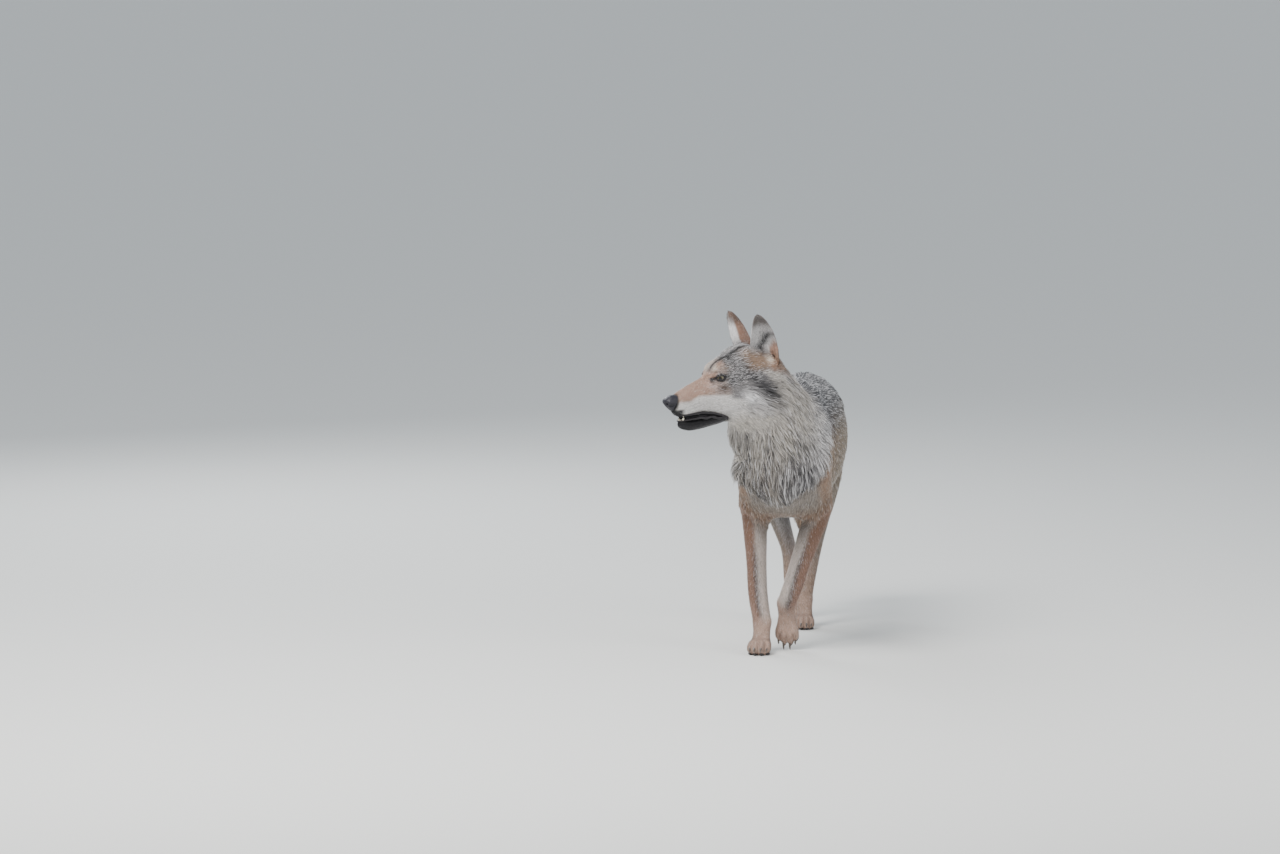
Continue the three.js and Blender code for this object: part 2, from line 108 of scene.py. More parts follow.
# The head's own axes: left, forward and up, from the two eyes.
eyeMiddle = toWolf((boxCentre("eye_left") + boxCentre("eye_right")) / 2)
headLeft = unit(boxCentre("eye_left") - boxCentre("eye_right"))
drop = math.radians(stance["headDrop"])
headForward = unit(np.cross(headLeft, upwards)) * math.cos(drop) - upwards * math.sin(drop)
headUp = np.cross(headForward, headLeft)
headAxes = np.array([headLeft, headForward, headUp])
headJoint = eyeMiddle - headForward * stance["eyeAhead"] - headUp * stance["eyeAbove"]


def headLocal(points):
    return (np.asarray(points, float) - headJoint) @ headAxes.T


def headVector(vectors):
    return np.asarray(vectors, float) @ headAxes


def headPlace(local):
    return headJoint + headVector(local)


def newObject(name, data):
    made = bpy.data.objects.new(name, data)
    bpy.context.scene.collection.objects.link(made)
    return made


# Where the camera stands, in millimetres and degrees.
studio = {
    "target": (0, -150, 0),
    "turn": 6,
    "height": 6,
    "distance": 14000,
    "aside": -333.7,
    "above": 535.8,
    "acrossView": 3008,  # width of the view at the target
    "sensor": 36,
    "farthest": 400,  # metres that the camera sees
}


def makeCamera():
    turn = math.radians(studio["turn"])
    height = math.radians(studio["height"])
    level = math.cos(height)
    right = np.array((math.cos(turn), math.sin(turn), 0))
    back = np.array((math.sin(turn) * level, -math.cos(turn) * level, math.sin(height)))
    up = np.cross(back, right)
    target = np.array(studio["target"], float)
    centre = (
        right * (target @ right + studio["aside"])
        + up * (np.array((0, -60, 0)) @ up + studio["above"])
        + back * (target @ back)
    )
    data = bpy.data.cameras.new("camera")
    camera = newObject("camera", data)
    turned = Matrix(np.array([right, up, back]).T.tolist()).to_4x4()
    turned.translation = Vector(toWorld(centre + back * studio["distance"]))
    camera.matrix_world = turned
    data.sensor_width = studio["sensor"]
    data.lens = studio["sensor"] * studio["distance"] / studio["acrossView"]
    data.clip_end = studio["farthest"]
    bpy.context.scene.camera = camera


lighting = {
    "sky": (0.86, 0.93, 1.0),
    "skyStrength": 0.8,
    "aim": (0, 0, 0.45),
    "lamps": {
        # name: place in metres, size, power, colour
        "overhead": ((-1.4, -2.6, 3.4), 2.4, 250, (1.0, 0.98, 0.95)),
        "side": ((3.2, -1.6, 1.8), 2.2, 50, (1.0, 0.97, 0.93)),
        "behind": ((-2.0, 3.0, 2.6), 2.0, 90, (0.95, 0.98, 1.0)),
    },
    "floor": (0.7, 0.7, 0.68),
    "floorSize": 300,
    "floorRoughness": 0.9,
}


def makeLights():
    world = bpy.data.worlds.new("studio")
    bpy.context.scene.world = world
    world.use_nodes = True
    sky = world.node_tree.nodes["Background"]
    sky.inputs["Color"].default_value = (*lighting["sky"], 1)
    sky.inputs["Strength"].default_value = lighting["skyStrength"]
    for name, (place, size, power, shade) in lighting["lamps"].items():
        data = bpy.data.lights.new(name, "AREA")
        data.shape = "DISK"
        data.size = size
        data.energy = power
        data.color = shade
        lamp = newObject(name, data)
        lamp.location = place
        aim = Vector(lighting["aim"]) - Vector(place)
        lamp.rotation_euler = aim.to_track_quat("-Z", "Y").to_euler()


def makeFloor():
    bpy.ops.object.select_all(action="DESELECT")
    bpy.ops.mesh.primitive_plane_add(size=lighting["floorSize"], location=(0, 0, 0))
    floor = bpy.context.active_object
    floor.name = "floor"
    plain = bpy.data.materials.new("floor")
    plain.use_nodes = True
    shader = plain.node_tree.nodes["Principled BSDF"]
    shader.inputs["Base Color"].default_value = (*lighting["floor"], 1)
    shader.inputs["Roughness"].default_value = lighting["floorRoughness"]
    floor.data.materials.append(plain)


makeCamera()
makeLights()
makeFloor()
print("camera, lights and floor placed")


def chooseOnly(*objects):
    bpy.ops.object.select_all(action="DESELECT")
    for item in objects:
        item.select_set(True)
    bpy.context.view_layer.objects.active = objects[0]


def editAll(piece, operator, **settings):
    chooseOnly(piece)
    bpy.ops.object.mode_set(mode="EDIT")
    bpy.ops.mesh.select_all(action="SELECT")
    operator(**settings)
    bpy.ops.object.mode_set(mode="OBJECT")


def outwards(piece):
    editAll(piece, bpy.ops.mesh.normals_make_consistent, inside=False)


def useModifier(piece, kind, **settings):
    modifier = piece.modifiers.new(kind.lower(), kind)
    for key, value in settings.items():
        setattr(modifier, key, value)
    chooseOnly(piece)
    bpy.ops.object.modifier_apply(modifier=modifier.name)


def valuesOf(items, key, width, kind=float):
    flat = np.empty(len(items) * width, kind)
    items.foreach_get(key, flat)
    return flat.reshape(-1, width)


def pointsOf(piece):
    return valuesOf(piece.data.vertices, "co", 3)


def normalsOf(piece):
    return valuesOf(piece.data.vertices, "normal", 3)


def setPoints(piece, points):
    piece.data.vertices.foreach_set("co", np.asarray(points, float).ravel())
    piece.data.update()


def setHeadPoints(piece, local):
    setPoints(piece, toWorld(headPlace(local)))


def trianglesIn(piece):
    return sum(len(face.vertices) - 2 for face in piece.data.polygons)


def paint(mesh, shades):
    tint = mesh.attributes.new("coat", "FLOAT_COLOR", "POINT")
    opaque = np.concatenate([shades, np.ones((*shades.shape[:-1], 1))], -1)
    tint.data.foreach_set("color", opaque.astype(np.float32).ravel())


class Neighbours:
    # Averages a value over each point's neighbours along the edges.
    def __init__(self, piece):
        edges = valuesOf(piece.data.edges, "vertices", 2, np.int32)
        self.start = np.concatenate([edges[:, 0], edges[:, 1]])
        self.end = np.concatenate([edges[:, 1], edges[:, 0]])
        self.count = len(piece.data.vertices)
        self.share = 1 / np.maximum(np.bincount(self.start, minlength=self.count), 1)

    def average(self, values):
        columns = [
            np.bincount(self.start, values[self.end, i], self.count) * self.share
            for i in range(values.shape[1])
        ]
        return np.stack(columns, 1)

    def soften(self, values, times, amount=1.0):
        for _ in range(times):
            values = values + (self.average(values) - values) * amount
        return values


def copyOfNode(name):
    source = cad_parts[name]
    copy = source.copy()
    copy.data = source.data.copy()
    copy.parent = None
    for key in list(copy.keys()):
        del copy[key]
    bpy.context.scene.collection.objects.link(copy)
    copy.name = "copy_" + name
    editAll(copy, bpy.ops.mesh.remove_doubles, threshold=0.00002)
    return copy


def newSphere(name, segments, rings):
    bpy.ops.object.select_all(action="DESELECT")
    bpy.ops.mesh.primitive_uv_sphere_add(segments=segments, ring_count=rings, radius=1)
    piece = bpy.context.active_object
    piece.name = name
    piece.data.name = name
    bpy.ops.object.shade_smooth()
    return piece


def joined(name, pieces):
    chooseOnly(*pieces)
    if len(pieces) > 1:
        bpy.ops.object.join()
    whole = bpy.context.active_object
    whole.name = name
    whole.data.name = name
    return whole


def colour(*parts):
    # Screen values 0 to 255 as linear light.
    share = np.array(parts, float) / 255
    return np.where(share <= 0.04045, share / 12.92, ((share + 0.055) / 1.055) ** 2.4)


furColours = {
    "black": colour(16, 15, 18),
    "charcoal": colour(44, 42, 46),
    "slate": colour(82, 80, 86),
    "grey": colour(120, 117, 117),
    "silver": colour(178, 173, 171),
    "cream": colour(206, 196, 182),
    "white": colour(238, 235, 236),
    "buff": colour(142, 127, 108),
    "tan": colour(157, 130, 109),
    "fawn": colour(143, 117, 97),
    "cinnamon": colour(181, 144, 128),
    "rust": colour(124, 92, 73),
    "brown": colour(84, 66, 54),
    "pink": colour(204, 172, 158),
}

groupOfNode = {
    "trunk": "trunk",
    "neck": "neck",
    "tail": "tail",
    "head": "head",
    "lower_jaw": "jaw",
    "ear_left": "earLeft",
    "ear_right": "earRight",
    "foreleg_left": "foreleg",
    "foreleg_right": "foreleg",
    "forepaw_right": "paw",
    "forepaw_left": "hangingPaw",
    "hindleg_left": "hindleg",
    "hindleg_right": "hindleg",
    "hindpaw_left": "paw",
    "hindpaw_right": "paw",
}
fleshNodes = list(groupOfNode)
groups = sorted(set(groupOfNode.values()))


eyeShape = {
    "radius": 12.0,
    "opening": (0.80, 0.58, -0.12),  # the way the gap between the lids faces, on the left
    "outward": (0.47, -0.88, 0.0),  # from the inner corner to the outer
    "gaze": (0.70, 0.67, -0.20),
    "slant": 9,  # degrees
    "halfWidth": 57,
    "halfUpper": 25,
    "halfLower": 22,
    "innerCorner": 15,  # the inner corner runs on by this much
    "lidRadius": 13.1,
    "lidReach": 34,  # from the middle of the eye to the end of what the lids move
    "lidGap": 0.8,  # between the ball and the closed skin over it
    "openRadius": 9.5,  # the skin lies this deep where the eye is open
    "lidEdge": 1.12,  # from here outwards the skin is lid
    "rim": 1.25,
    "rimStands": 0.75,  # off the ball
    "rimSteps": 72,
}


def eyeAxes(side):
    # The middle of an eye, and its lids' axes: outward from the face, towards the ear, and up.
    centre = np.array((side * stance["eyeAside"], stance["eyeAhead"], stance["eyeAbove"]))
    mirror = np.array((side, 1, 1))
    facing = unit(np.array(eyeShape["opening"]) * mirror)
    across = np.array(eyeShape["outward"]) * mirror
    across = unit(across - facing * (across @ facing))
    rise = np.cross(across, facing) * side
    slant = math.radians(eyeShape["slant"])
    turned = across * math.cos(slant) + rise * math.sin(slant)
    return centre, facing, turned, rise * math.cos(slant) - across * math.sin(slant)


farFromLids = 9.0


def lidDistance(local):
    # 1 on the edge of the nearer eye's opening, less inside it, and far more elsewhere.
    nearest = np.full(len(local), farFromLids)
    for side in (1, -1):
        centre, facing, across, rise = eyeAxes(side)
        arm = local - centre
        reach = np.linalg.norm(arm, axis=1)
        ahead = arm @ facing
        sideways = np.degrees(np.arctan2(arm @ across, ahead))
        upward = np.degrees(np.arctan2(arm @ rise, ahead))
        half = np.where(upward > 0, eyeShape["halfUpper"], eyeShape["halfLower"])
        share = np.hypot(sideways / eyeShape["halfWidth"], upward / half)
        share = np.where((ahead > -6) & (reach < eyeShape["lidReach"]), share, farFromLids)
        nearest = np.minimum(nearest, share)
    return nearest


noseShape = {
    "centre": (0, 250, -37.5),
    "half": (17.0, 22.0, 18.5),
    "boxiness": 2.5,
    "segments": (112, 80),
    # way from the middle, width as a share, and height or depth in millimetres
    "pit": ((0.46, 0.86, -0.06), 0.2, 7.5),
    "wing": ((0.80, 0.55, 0.14), 0.28, 1.8),
    "slitWidth": 0.085,
    "groove": (0.055, 2.0),
}


def noseDistance(local):
    return np.linalg.norm((local - noseShape["centre"]) / np.array(noseShape["half"]), axis=1)


# How high the upper lip's edge runs, from the corner of the mouth to the front.
lipEdge = {
    "ahead": [112, 118, 132, 152, 180, 205, 225, 245, 256],
    "up": [-84, -81, -74, -68, -64, -66, -68, -66, -62],
}


def shadeOf(name):
    return furColours[name] if isinstance(name, str) else name


def mixed(first, second, share):
    return shadeOf(first) + (shadeOf(second) - shadeOf(first)) * np.asarray(share, float)[..., None]


class Coat:
    # What the coat is like at each point: sizes in millimetres, the way it lies, and its colours.
    def __init__(self, count):
        for size in ("length", "width", "depth", "cover", "grizzle"):
            setattr(self, size, np.zeros(count))
        for way in ("flow", "base", "tip"):
            setattr(self, way, np.zeros((count, 3)))

    def grow(self, length, depth, share=1.0):
        self.length = blend(self.length, length, share)
        self.depth = blend(self.depth, depth, share)

    def lay(self, left, back, up, share=1.0):
        self.flow = blend(self.flow, np.stack(np.broadcast_arrays(left, back, up), -1), share)

    def mark(self, share, base, tip=None, tipShare=None):
        # Colours the roots, and the tips with them unless they are given a colour or share of their own.
        self.base = blend(self.base, shadeOf(base), share)
        self.tinge(share if tipShare is None else tipShare, base if tip is None else tip)

    def tinge(self, share, tip):
        self.tip = blend(self.tip, shadeOf(tip), share)

    def gather(self, part, here, share):
        for field, whole in vars(self).items():
            whole[here] += (share[:, None] if whole.ndim == 2 else share) * getattr(part, field)


def trunkCoat(coat, p, n):
    x, y, z = p.T
    front = ramp(y, -40, -110) * ramp(z, 500, 430)
    belly = ramp(n[:, 2], -0.25, -0.75) * ramp(y, -40, 40) * ramp(y, 470, 420)
    back = ramp(z, 500, 585)
    shoulder = ramp(y, 120, 30) * ramp(y, -170, -110) * ramp(z, 590, 540) * (1 - front)
    rump = ramp(y, 430, 520)
    elbow = ramp(y, 30, -50) * ramp(z, 480, 370) * (1 - front) * (1 - belly)
    coat.grow(36, 10)
    coat.grow(52, 15, back)
    coat.grow(30, 8, shoulder)
    coat.grow(34, 9, rump)
    coat.grow(34, 8, belly)
    coat.grow(13, 4, front)
    coat.lay(np.sign(x) * 0.12 * back, 1, -0.42 * (1 - back) - 0.12)
    coat.lay(0, 0.45, -0.95, shoulder * 0.8)
    coat.lay(0, 0.35, -1, rump * (1 - back * 0.7))
    coat.lay(0, 1, 0, belly)
    coat.lay(0, 0, -1, front)
    coat.mark(1, "brown", "buff")
    coat.mark(back, "black", mixed("slate", "charcoal", 0.75))
    coat.mark(shoulder * 0.8, "brown", mixed(mixed("tan", "buff", 0.5), "slate", ramp(z, 490, 560)))
    coat.mark(belly * 0.9, "cream")
    coat.mark(elbow * 0.8, mixed("brown", "rust", 0.5), mixed("tan", "rust", 0.55))
    inner = ramp(np.abs(x) / 100, 1.0, 0.75)
    coat.mark(front, mixed("rust", "slate", inner), mixed("tan", mixed("buff", "silver", 0.3), inner))
    coat.width = blend(1.4 + coat.length * 0.02, 1.5, front)
    coat.cover = blend(blend(3.0, 3.8, back), 2.8, np.maximum(front, belly))
    coat.grizzle = blend(0.55, 1.2, back) * (1 - 0.7 * belly) * (1 - 0.6 * front)


def neckCoat(coat, p, n):
    x, y, z = p.T
    low = ramp(z, 600, 450)
    ahead = ramp(-n[:, 1], 0.1, 0.75)
    throat = ahead * ramp(z, 560, 640)
    nape = ramp(n[:, 2], 0.35, 0.85)
    coat.grow(58, 16)
    coat.grow(66, 22, low)
    coat.grow(40, 10, throat)
    coat.grow(48, 14, nape)

    # The ruff ends in a pointed hem over the chest.
    hem = 362 + 0.72 * np.abs(x + 17)
    frontal = ramp(-n[:, 1], -0.15, 0.25)
    fits = np.clip((z - hem + 14) / coat.length, 13 / coat.length, 1)
    fits = blend(1.0, fits, frontal)
    coat.length = coat.length * fits
    coat.depth = coat.depth * blend(0.25, 1.0, fits)
    coat.width = 1.25 + coat.length * 0.018
    coat.cover = 6.5
    coat.lay(0.18 + 0.25 * np.sign(x + 20) * (1 - nape), 0.62, -0.76)
    coat.lay(0.1, -0.05, -1, ahead * low)
    coat.lay(0.1, 0.5, -0.9, throat)
    coat.lay(0.15, 0.9, -0.35, nape)

    # Silver and cream in patches, with dark streaks, a dark chest and a dark edge at the hem.
    patchy = 0.5 + 0.25 * (np.sin(x / 21 + z / 37) + np.sin(z / 29 - x / 43 + 1.3))
    coat.mark(1, "grey")
    coat.tinge(0.35 + 0.5 * patchy - 0.25 * low * ahead, "silver")
    coat.tinge((1 - 0.7 * low * ahead) * (0.4 + 0.5 * patchy), "cream")
    coat.tinge(0.55 * ahead * low * ramp(x, 60, -60), "buff")
    coat.tinge(0.5 * throat, "cream")
    streaks = ramp(np.sin(x / 8 + 1.6 * np.sin(z / 31)) + 0.6 * np.sin(x / 3.7 - z / 19), 0.5, 1.3)
    coat.mark(0.65 * streaks * (1 - throat), "charcoal", "slate", 0.6 * streaks * (1 - throat))
    bright = ramp(x, 30, 90) * ramp(z, 440, 500)
    coat.mark(bright * 0.7, "silver", "white", bright * 0.8)
    darkChest = ahead * hump(x, 38, 42) * hump(z, 470, 62)
    darkChest = np.maximum(darkChest, 0.55 * ahead * hump(x, -62, 22) * hump(z, 450, 40))
    coat.mark(darkChest * 0.8, "charcoal", "slate", darkChest * 0.7)
    edge = hump(z, hem + 26, 17) * ahead
    coat.mark(edge * 0.85, "black", "black", edge * 0.8)
    coat.mark(ramp(z - hem, 8, -8) * frontal, "grey", mixed("buff", "silver", 0.45))
    dark = nape * ramp(y, -190, -60)
    coat.mark(dark, "charcoal", "slate", dark * 0.9)
    behind = nape * ramp(y, -120, -190)
    coat.mark(behind * 0.5, "rust", "tan", behind * 0.6)
    coat.grizzle = 0.6 + 0.6 * dark + 0.4 * darkChest


def tailCoat(coat, p, n):
    x, _, z = p.T
    root = ramp(z, 470, 540)
    end = ramp(z, 300, 215)
    coat.grow(62, 16)
    coat.grow(38, 8, root)
    coat.grow(46, 5, end)
    coat.lay(0, 0.2, -1)
    coat.lay(0, 0.75, -0.65, root)
    coat.flow[:, 0] += np.sign(x) * 0.12
    coat.mark(1, "buff", "tan")
    coat.mark(ramp(n[:, 1], -0.2, 0.6), "charcoal", "slate")
    coat.mark(ramp(z, 262, 232), "charcoal", "black", ramp(z, 270, 235))
    coat.width = 1.8 + coat.length * 0.02
    coat.cover = 5.2
    coat.grizzle = blend(0.7, 0.1, end)


def finishLeg(coat, n, high):
    coat.length = coat.length + ramp(n[:, 1], 0.5, 0.9) * 5
    coat.width = 1.1 + coat.length * 0.022
    coat.cover = blend(2.3, 3.1, high)


def hindlegCoat(coat, p, n):
    x, _, z = p.T
    high = ramp(z, 250, 410)
    low = ramp(z, 290, 60)
    outer = ramp(n[:, 0] * np.sign(x), -0.15, 0.6)
    coat.grow(10, 2.2)
    coat.grow(32, 8.5, high)
    coat.lay(0, 0.12, -1)
    coat.lay(0, 0.35, -0.9, high)
    coat.mark(1, "grey", "silver")
    coat.mark(outer * 0.55, "brown", "buff", outer * 0.8)
    coat.mark(high * 0.7, "brown", "buff", high * 0.8)
    coat.mark(low * 0.9, "tan", mixed("tan", "pink", 0.6), low * 0.95)
    coat.grizzle = 0.3 + 0.4 * high
    finishLeg(coat, n, high)


def forelegCoat(coat, p, n):
    x, y, z = p.T
    facing = n[:, 0] * np.where(y > -200, np.where(x > -22, 1.0, -1.0), np.sign(x))
    high = ramp(z, 290, 420)
    low = ramp(z, 330, 230)
    outer = blend(ramp(facing, -0.3, 0.25), ramp(facing, 0.2, 0.8), high)
    coat.grow(10, 2.2)
    coat.grow(22, 6, high)
    coat.lay(0, 0.1, -1)
    inner = mixed("buff", mixed("pink", "white", 0.45), 0.3 + 0.55 * low)
    coat.mark(1, mixed("grey", "cream", low * 0.8), inner)
    coat.mark(outer, "rust", mixed("rust", "cinnamon", 0.2 + 0.35 * low))
    stripe = ramp(-n[:, 1], 0.35, 0.85) * hump(facing, 0.0, 0.3) * ramp(z, 290, 210) * ramp(z, 60, 120)
    coat.mark(stripe * 0.6, "charcoal", "slate")
    coat.tinge(ramp(z, 150, 90) * (1 - stripe) * 0.6, "pink")
    coat.grizzle = 0.12 + 0.5 * stripe + 0.2 * high
    finishLeg(coat, n, high)


def pawCoat(coat, p, n, hanging):
    z = p[:, 2]
    coat.lay(0, *((-0.25, -1) if hanging else (-1, -0.45)))
    coat.lay(0, -0.3, -1, ramp(z, 60, 120) if hanging else ramp(z, 20, 70))
    coat.mark(1, mixed("tan", "pink", 0.4), mixed("tan", "pink", 0.75))
    coat.base = blend(coat.base, furColours["brown"], 0.3 * ramp(z, 30, 8))
    coat.length = 9.0 if hanging else 6.5
    coat.width = 1.15
    coat.depth = 1.2
    coat.cover = 2.2
    coat.grizzle = 0.2


def earCoat(coat, p, n, side):
    ahead, above = headLocal(p)[:, 1:].T
    facing = n @ headAxes.T
    inside = ramp(facing[:, 1] + 0.95 * facing[:, 0] * side, 0.05, 0.4)
    faceOn = np.abs(facing @ unit(np.array((0.41 * side, 0.91, 0))))
    back = ahead - 0.10 * (above - 60)
    margin = ramp(back, 3, -3)
    coat.mark(1, "rust", "cinnamon")
    coat.mark(inside, mixed("silver", "rust", margin), mixed("white", "cinnamon", margin))
    coat.tinge((1 - inside) * 0.5, "rust")
    patch = hump(fromLine(ahead, above, [(14, 102), (17, 80), (44, 56)]), 0, 9) * inside
    coat.mark(patch, "black", "black", patch * 0.95)
    speckle = inside * ramp(ahead, 34, 26) * ramp(ahead, 12, 18) * ramp(above, 130, 110)
    coat.tinge(speckle * 0.5 * (1 - patch), "silver")
    fringe = ramp(ahead - 0.12 * (above - 60) - 9 * (1 - inside), 25, 31) * ramp(above, 146, 134)
    coat.mark(fringe, "silver", "white")
    # Painted shade: brown on the rear edge of the ear, where it turns away from the front.
    coat.mark(ramp(faceOn, 0.6, 0.3) * ramp(back, 14, 4) * 0.9, "brown")
    rim = ramp(above, 114, 136)
    coat.mark(rim * 0.7, "brown", mixed("brown", "charcoal", 0.5), rim * 0.85)
    coat.mark(ramp(above, 62, 44) * 0.7, "rust", "tan")
    coat.length = blend(7, 8 + 10 * ramp(above, 82, 58), inside) * blend(0.45, 1, ramp(faceOn, 0.15, 0.6))
    coat.width = 1.1
    coat.depth = blend(0.4, 0.7, inside)
    coat.cover = 2.7 * blend(0.5, 1.0, ramp(faceOn, 0.1, 0.4))
    coat.lay(*headVector((side * 0.14, 0.26, 1.0)))
    coat.lay(*headVector((0, 0.35, 1.0)), inside * 0.5)
    coat.grizzle = 0.12 + 0.8 * speckle


def jawCoat(coat, p, n):
    ahead = headLocal(p)[:, 1]
    facing = (n @ headAxes.T)[:, 2]
    lip = ramp(facing, -0.35, 0.1)
    coat.lay(*headVector((0, -1, -0.25)))
    coat.mark(1, "black", "charcoal")
    coat.tinge(lip, "black")
    coat.mark(ramp(facing, -0.45, -0.85) * ramp(ahead, 215, 175) * 0.6, "slate", "grey")
    coat.length = 5
    coat.width = 1.0
    coat.depth = 0.8
    coat.cover = blend(2.2, 0.2, lip)


def headCoat(coat, p, n):
    local = headLocal(p)
    left, ahead, up = local.T
    facing = n @ headAxes.T
    side = np.abs(left)
    sign = np.sign(left)
    crown = ramp(ahead, 130, 80) * ramp(up, 5, 35)
    ruff = ramp(side, 26, 48) * ramp(ahead, 100, 55) * ramp(up, 25, -8)
    throat = ramp(up, -58, -80) * ramp(ahead, 140, 110)
    cheek = ramp(side, 16, 34) * ramp(up, 5, -30) * ramp(ahead, 150, 90)
    nape = ramp(ahead, 30, -20)
    lids = lidDistance(local)
    nose = noseDistance(local)
    coat.length = blend(4.5, 9, ramp(ahead, 220, 140))
    coat.depth = blend(1.0, 1.8, ramp(ahead, 200, 130))
    coat.grow(17, 4.5, crown)
    coat.grow(40, 11, ruff)
    coat.grow(24, 5, throat)
    coat.grow(42, 12, nape)
    coat.grow(15, 1.2, hump(side, 50, 22) * hump(ahead, 20, 34) * ramp(up, 10, 35))
    coat.grow(3.4, 0.5, ramp(lids, 2.3, 1.4))
    coat.width = 0.9 + coat.length * 0.026
    coat.lay(0.22 * sign, -1, 0.12)
    coat.lay(0.35 * sign, -0.85, -0.5, cheek)
    coat.lay(0.2 * sign, -0.8, -0.75, throat)
    coat.lay(0.3 * sign, -0.75, -0.6, nape * ramp(up, 40, 0))
    coat.flow = headVector(coat.flow)

    # A cinnamon bridge over white lips, flecked and paler towards the eyes.
    mark = coat.mark
    bridge = ramp(up - (-25 - 11 * ramp(ahead, 190, 221)), -6, 5)
    mark(1, "cream", "white")
    mark(bridge, "tan", "cinnamon")
    mottle = 0.5 + 0.5 * np.sin(ahead / 6 + 2 * np.sin(up / 5 + left / 9))
    mark(mottle * bridge * 0.22, "brown", "fawn")
    mark(ramp(ahead, 168, 140) * bridge * ramp(side, 20, 32) * 0.6, "grey", "silver")
    mark(ramp(ahead, 126, 108) * ramp(up, -62, -50), "grey", "silver")
    mark(hump(side, 30, 14) * hump(ahead, 157, 15) * hump(up, -2, 14) * 0.7, "silver", "pink")
    mark(ramp(ahead, 165, 148) * ramp(up, 14, 28) * ramp(side, 20, 8) * 0.55, "grey", "silver")
    streaks = ramp(np.cos((up + 0.25 * ahead) * 0.85), 0.2, 0.9) * hump(ahead, 202, 18) * hump(up, -46, 9)
    mark(streaks * 0.4, "slate")

    # The grizzled crown and cheeks, with a white cheek patch.
    beyond = ramp(ahead, 134, 118) * ramp(up - 0.25 * (118 - ahead), -16, 4)
    mark(beyond, "black", "grey")
    mark(ramp(ahead, 126, 112) * hump(up, -12, 14) * ramp(side, 30, 42) * 0.75, "charcoal", "grey")
    mark(ramp(ahead, 122, 108) * ramp(up, -12, -26) * 0.75, "grey", "silver")
    mark(hump(side, 52, 12) * hump(ahead, 104, 12) * hump(up, -28, 11) * 0.6, "slate")
    paleCheek = ramp(ahead, 165, 140) * ramp(up, -30, -40) * ramp(up, -92, -76) * ramp(ahead, 76, 96)
    mark(paleCheek, "cream", "white")
    mark(hump(side, 65, 18) * hump(ahead, 77, 19) * hump(up, -31, 13), "white")
    mark(ramp(side, 50, 64) * ramp(ahead, 50, 34) * ramp(up, 30, 18) * 0.7, "grey", "cream")
    mark(ramp(side, 50, 60) * ramp(ahead, 72, 54) * ramp(up, -40, -52) * 0.5, "grey", "silver")
    outside = ramp(side, 34, 48)
    around = hump(fromLine(ahead, up, [(76, 36), (66, 0), (46, -18), (8, -44)]), 0, 30) * outside
    band = hump(fromLine(ahead, up, [(76, 36), (66, 0), (46, -18), (14, -38)]), 0, 16) * outside
    mark(around * 0.4, "grey")
    mark(band * ramp(ahead, 0, 34) * 0.9, "black", "charcoal")

    # Dark corners round the eyes, the brow with painted shade in its crease, and the line over the forehead.
    mark(hump(ahead, 134, 14) * hump(up, -11, 9) * ramp(side, 26, 36) * 0.95, "black", "brown")
    mark(hump(ahead, 112, 9) * hump(up, 4, 8) * ramp(side, 28, 36) * 0.8, "black", "charcoal")
    mark(hump(ahead, 152, 9) * hump(up, 11, 5) * ramp(side, 14, 20) * 0.85, "black", "charcoal")
    mark(hump(side, 34, 13) * hump(ahead, 126, 14) * hump(up, 34, 10) * 0.6, "brown", "tan")
    mark(hump(ahead, 148, 8) * hump(up, 34, 8) * hump(side, 17, 7), "cream")
    # Painted shade: a thin black line in the crease over each eye.
    mark(hump(ahead, 141, 8) * hump(up, 25, 2.5) * hump(side, 24, 10) * 0.8, "black")
    middle = np.interp(ahead, [36, 62, 110, 142, 160], [24, 16, 14, 4, 3])
    line = hump(left, middle, 4.6) * ramp(ahead, 160, 146) * ramp(up, 18, 30) * ramp(ahead, 20, 40)
    beside = hump(left, middle - 12, 7) * ramp(ahead, 128, 112) * ramp(ahead, 45, 65) * ramp(up, 38, 52)
    mark(beside * 0.6, "grey", "silver")
    mark(line, "black")
    pale = hump(left, -6, 5) * ramp(ahead, 162, 150) * ramp(up, 18, 30) * ramp(ahead, 112, 130)
    mark(pale * 0.7, "silver", "cream")

    # Round the ears' roots and behind them.
    mark(hump(side, 38, 15) * hump(ahead, 74, 14) * hump(up, 64, 16) * 0.85, "fawn", "tan")
    under = ramp(side, 28, 44) * ramp(ahead, 92, 60) * ramp(up, 14, 38)
    mark(under * 0.95, "brown", "fawn")
    mark(ramp(side, 34, 46) * ramp(ahead, 30, 8) * ramp(up, 12, 28) * 0.9, "rust")
    mark(hump(side, 45, 14) * hump(ahead, 14, 10) * hump(up, 48, 10), "cream")
    mark(nape * ramp(up, 10, 30) * 0.75, "rust", "tan")
    mark(throat * ramp(ahead, 130, 90) * 0.8, "silver", "cream")

    # Black lips, lids and surround of the nose, where no hair grows.
    lips = ramp(up - np.interp(ahead, lipEdge["ahead"], lipEdge["up"]), 4.5, 1.5) * ramp(ahead, 112, 118)
    mark(np.maximum(lips, ramp(-facing[:, 2], 0.5, 0.8) * ramp(ahead, 120, 132)), "black")
    mark(ramp(lids, 2.4, 1.6) * 0.95, "black")
    mark(ramp(nose, 1.16, 1.04), "black")
    mark(ramp(ahead, 226, 238) * ramp(up, -50, -57), "black")
    bare = np.maximum(np.maximum(lips, ramp(lids, 1.3, 1.15)), ramp(nose, 1.08, 1.02))
    coat.cover = blend(3.6, 4.2, np.maximum(crown, ruff)) * (1 - bare)
    coat.grizzle = (0.25 + 1.0 * beyond * (1 - line)) * (1 - 0.9 * under)


coatMakers = {
    "trunk": (trunkCoat,),
    "neck": (neckCoat,),
    "tail": (tailCoat,),
    "head": (headCoat,),
    "jaw": (jawCoat,),
    "earLeft": (earCoat, 1),
    "earRight": (earCoat, -1),
    "foreleg": (forelegCoat,),
    "hindleg": (hindlegCoat,),
    "paw": (pawCoat, False),
    "hangingPaw": (pawCoat, True),
}


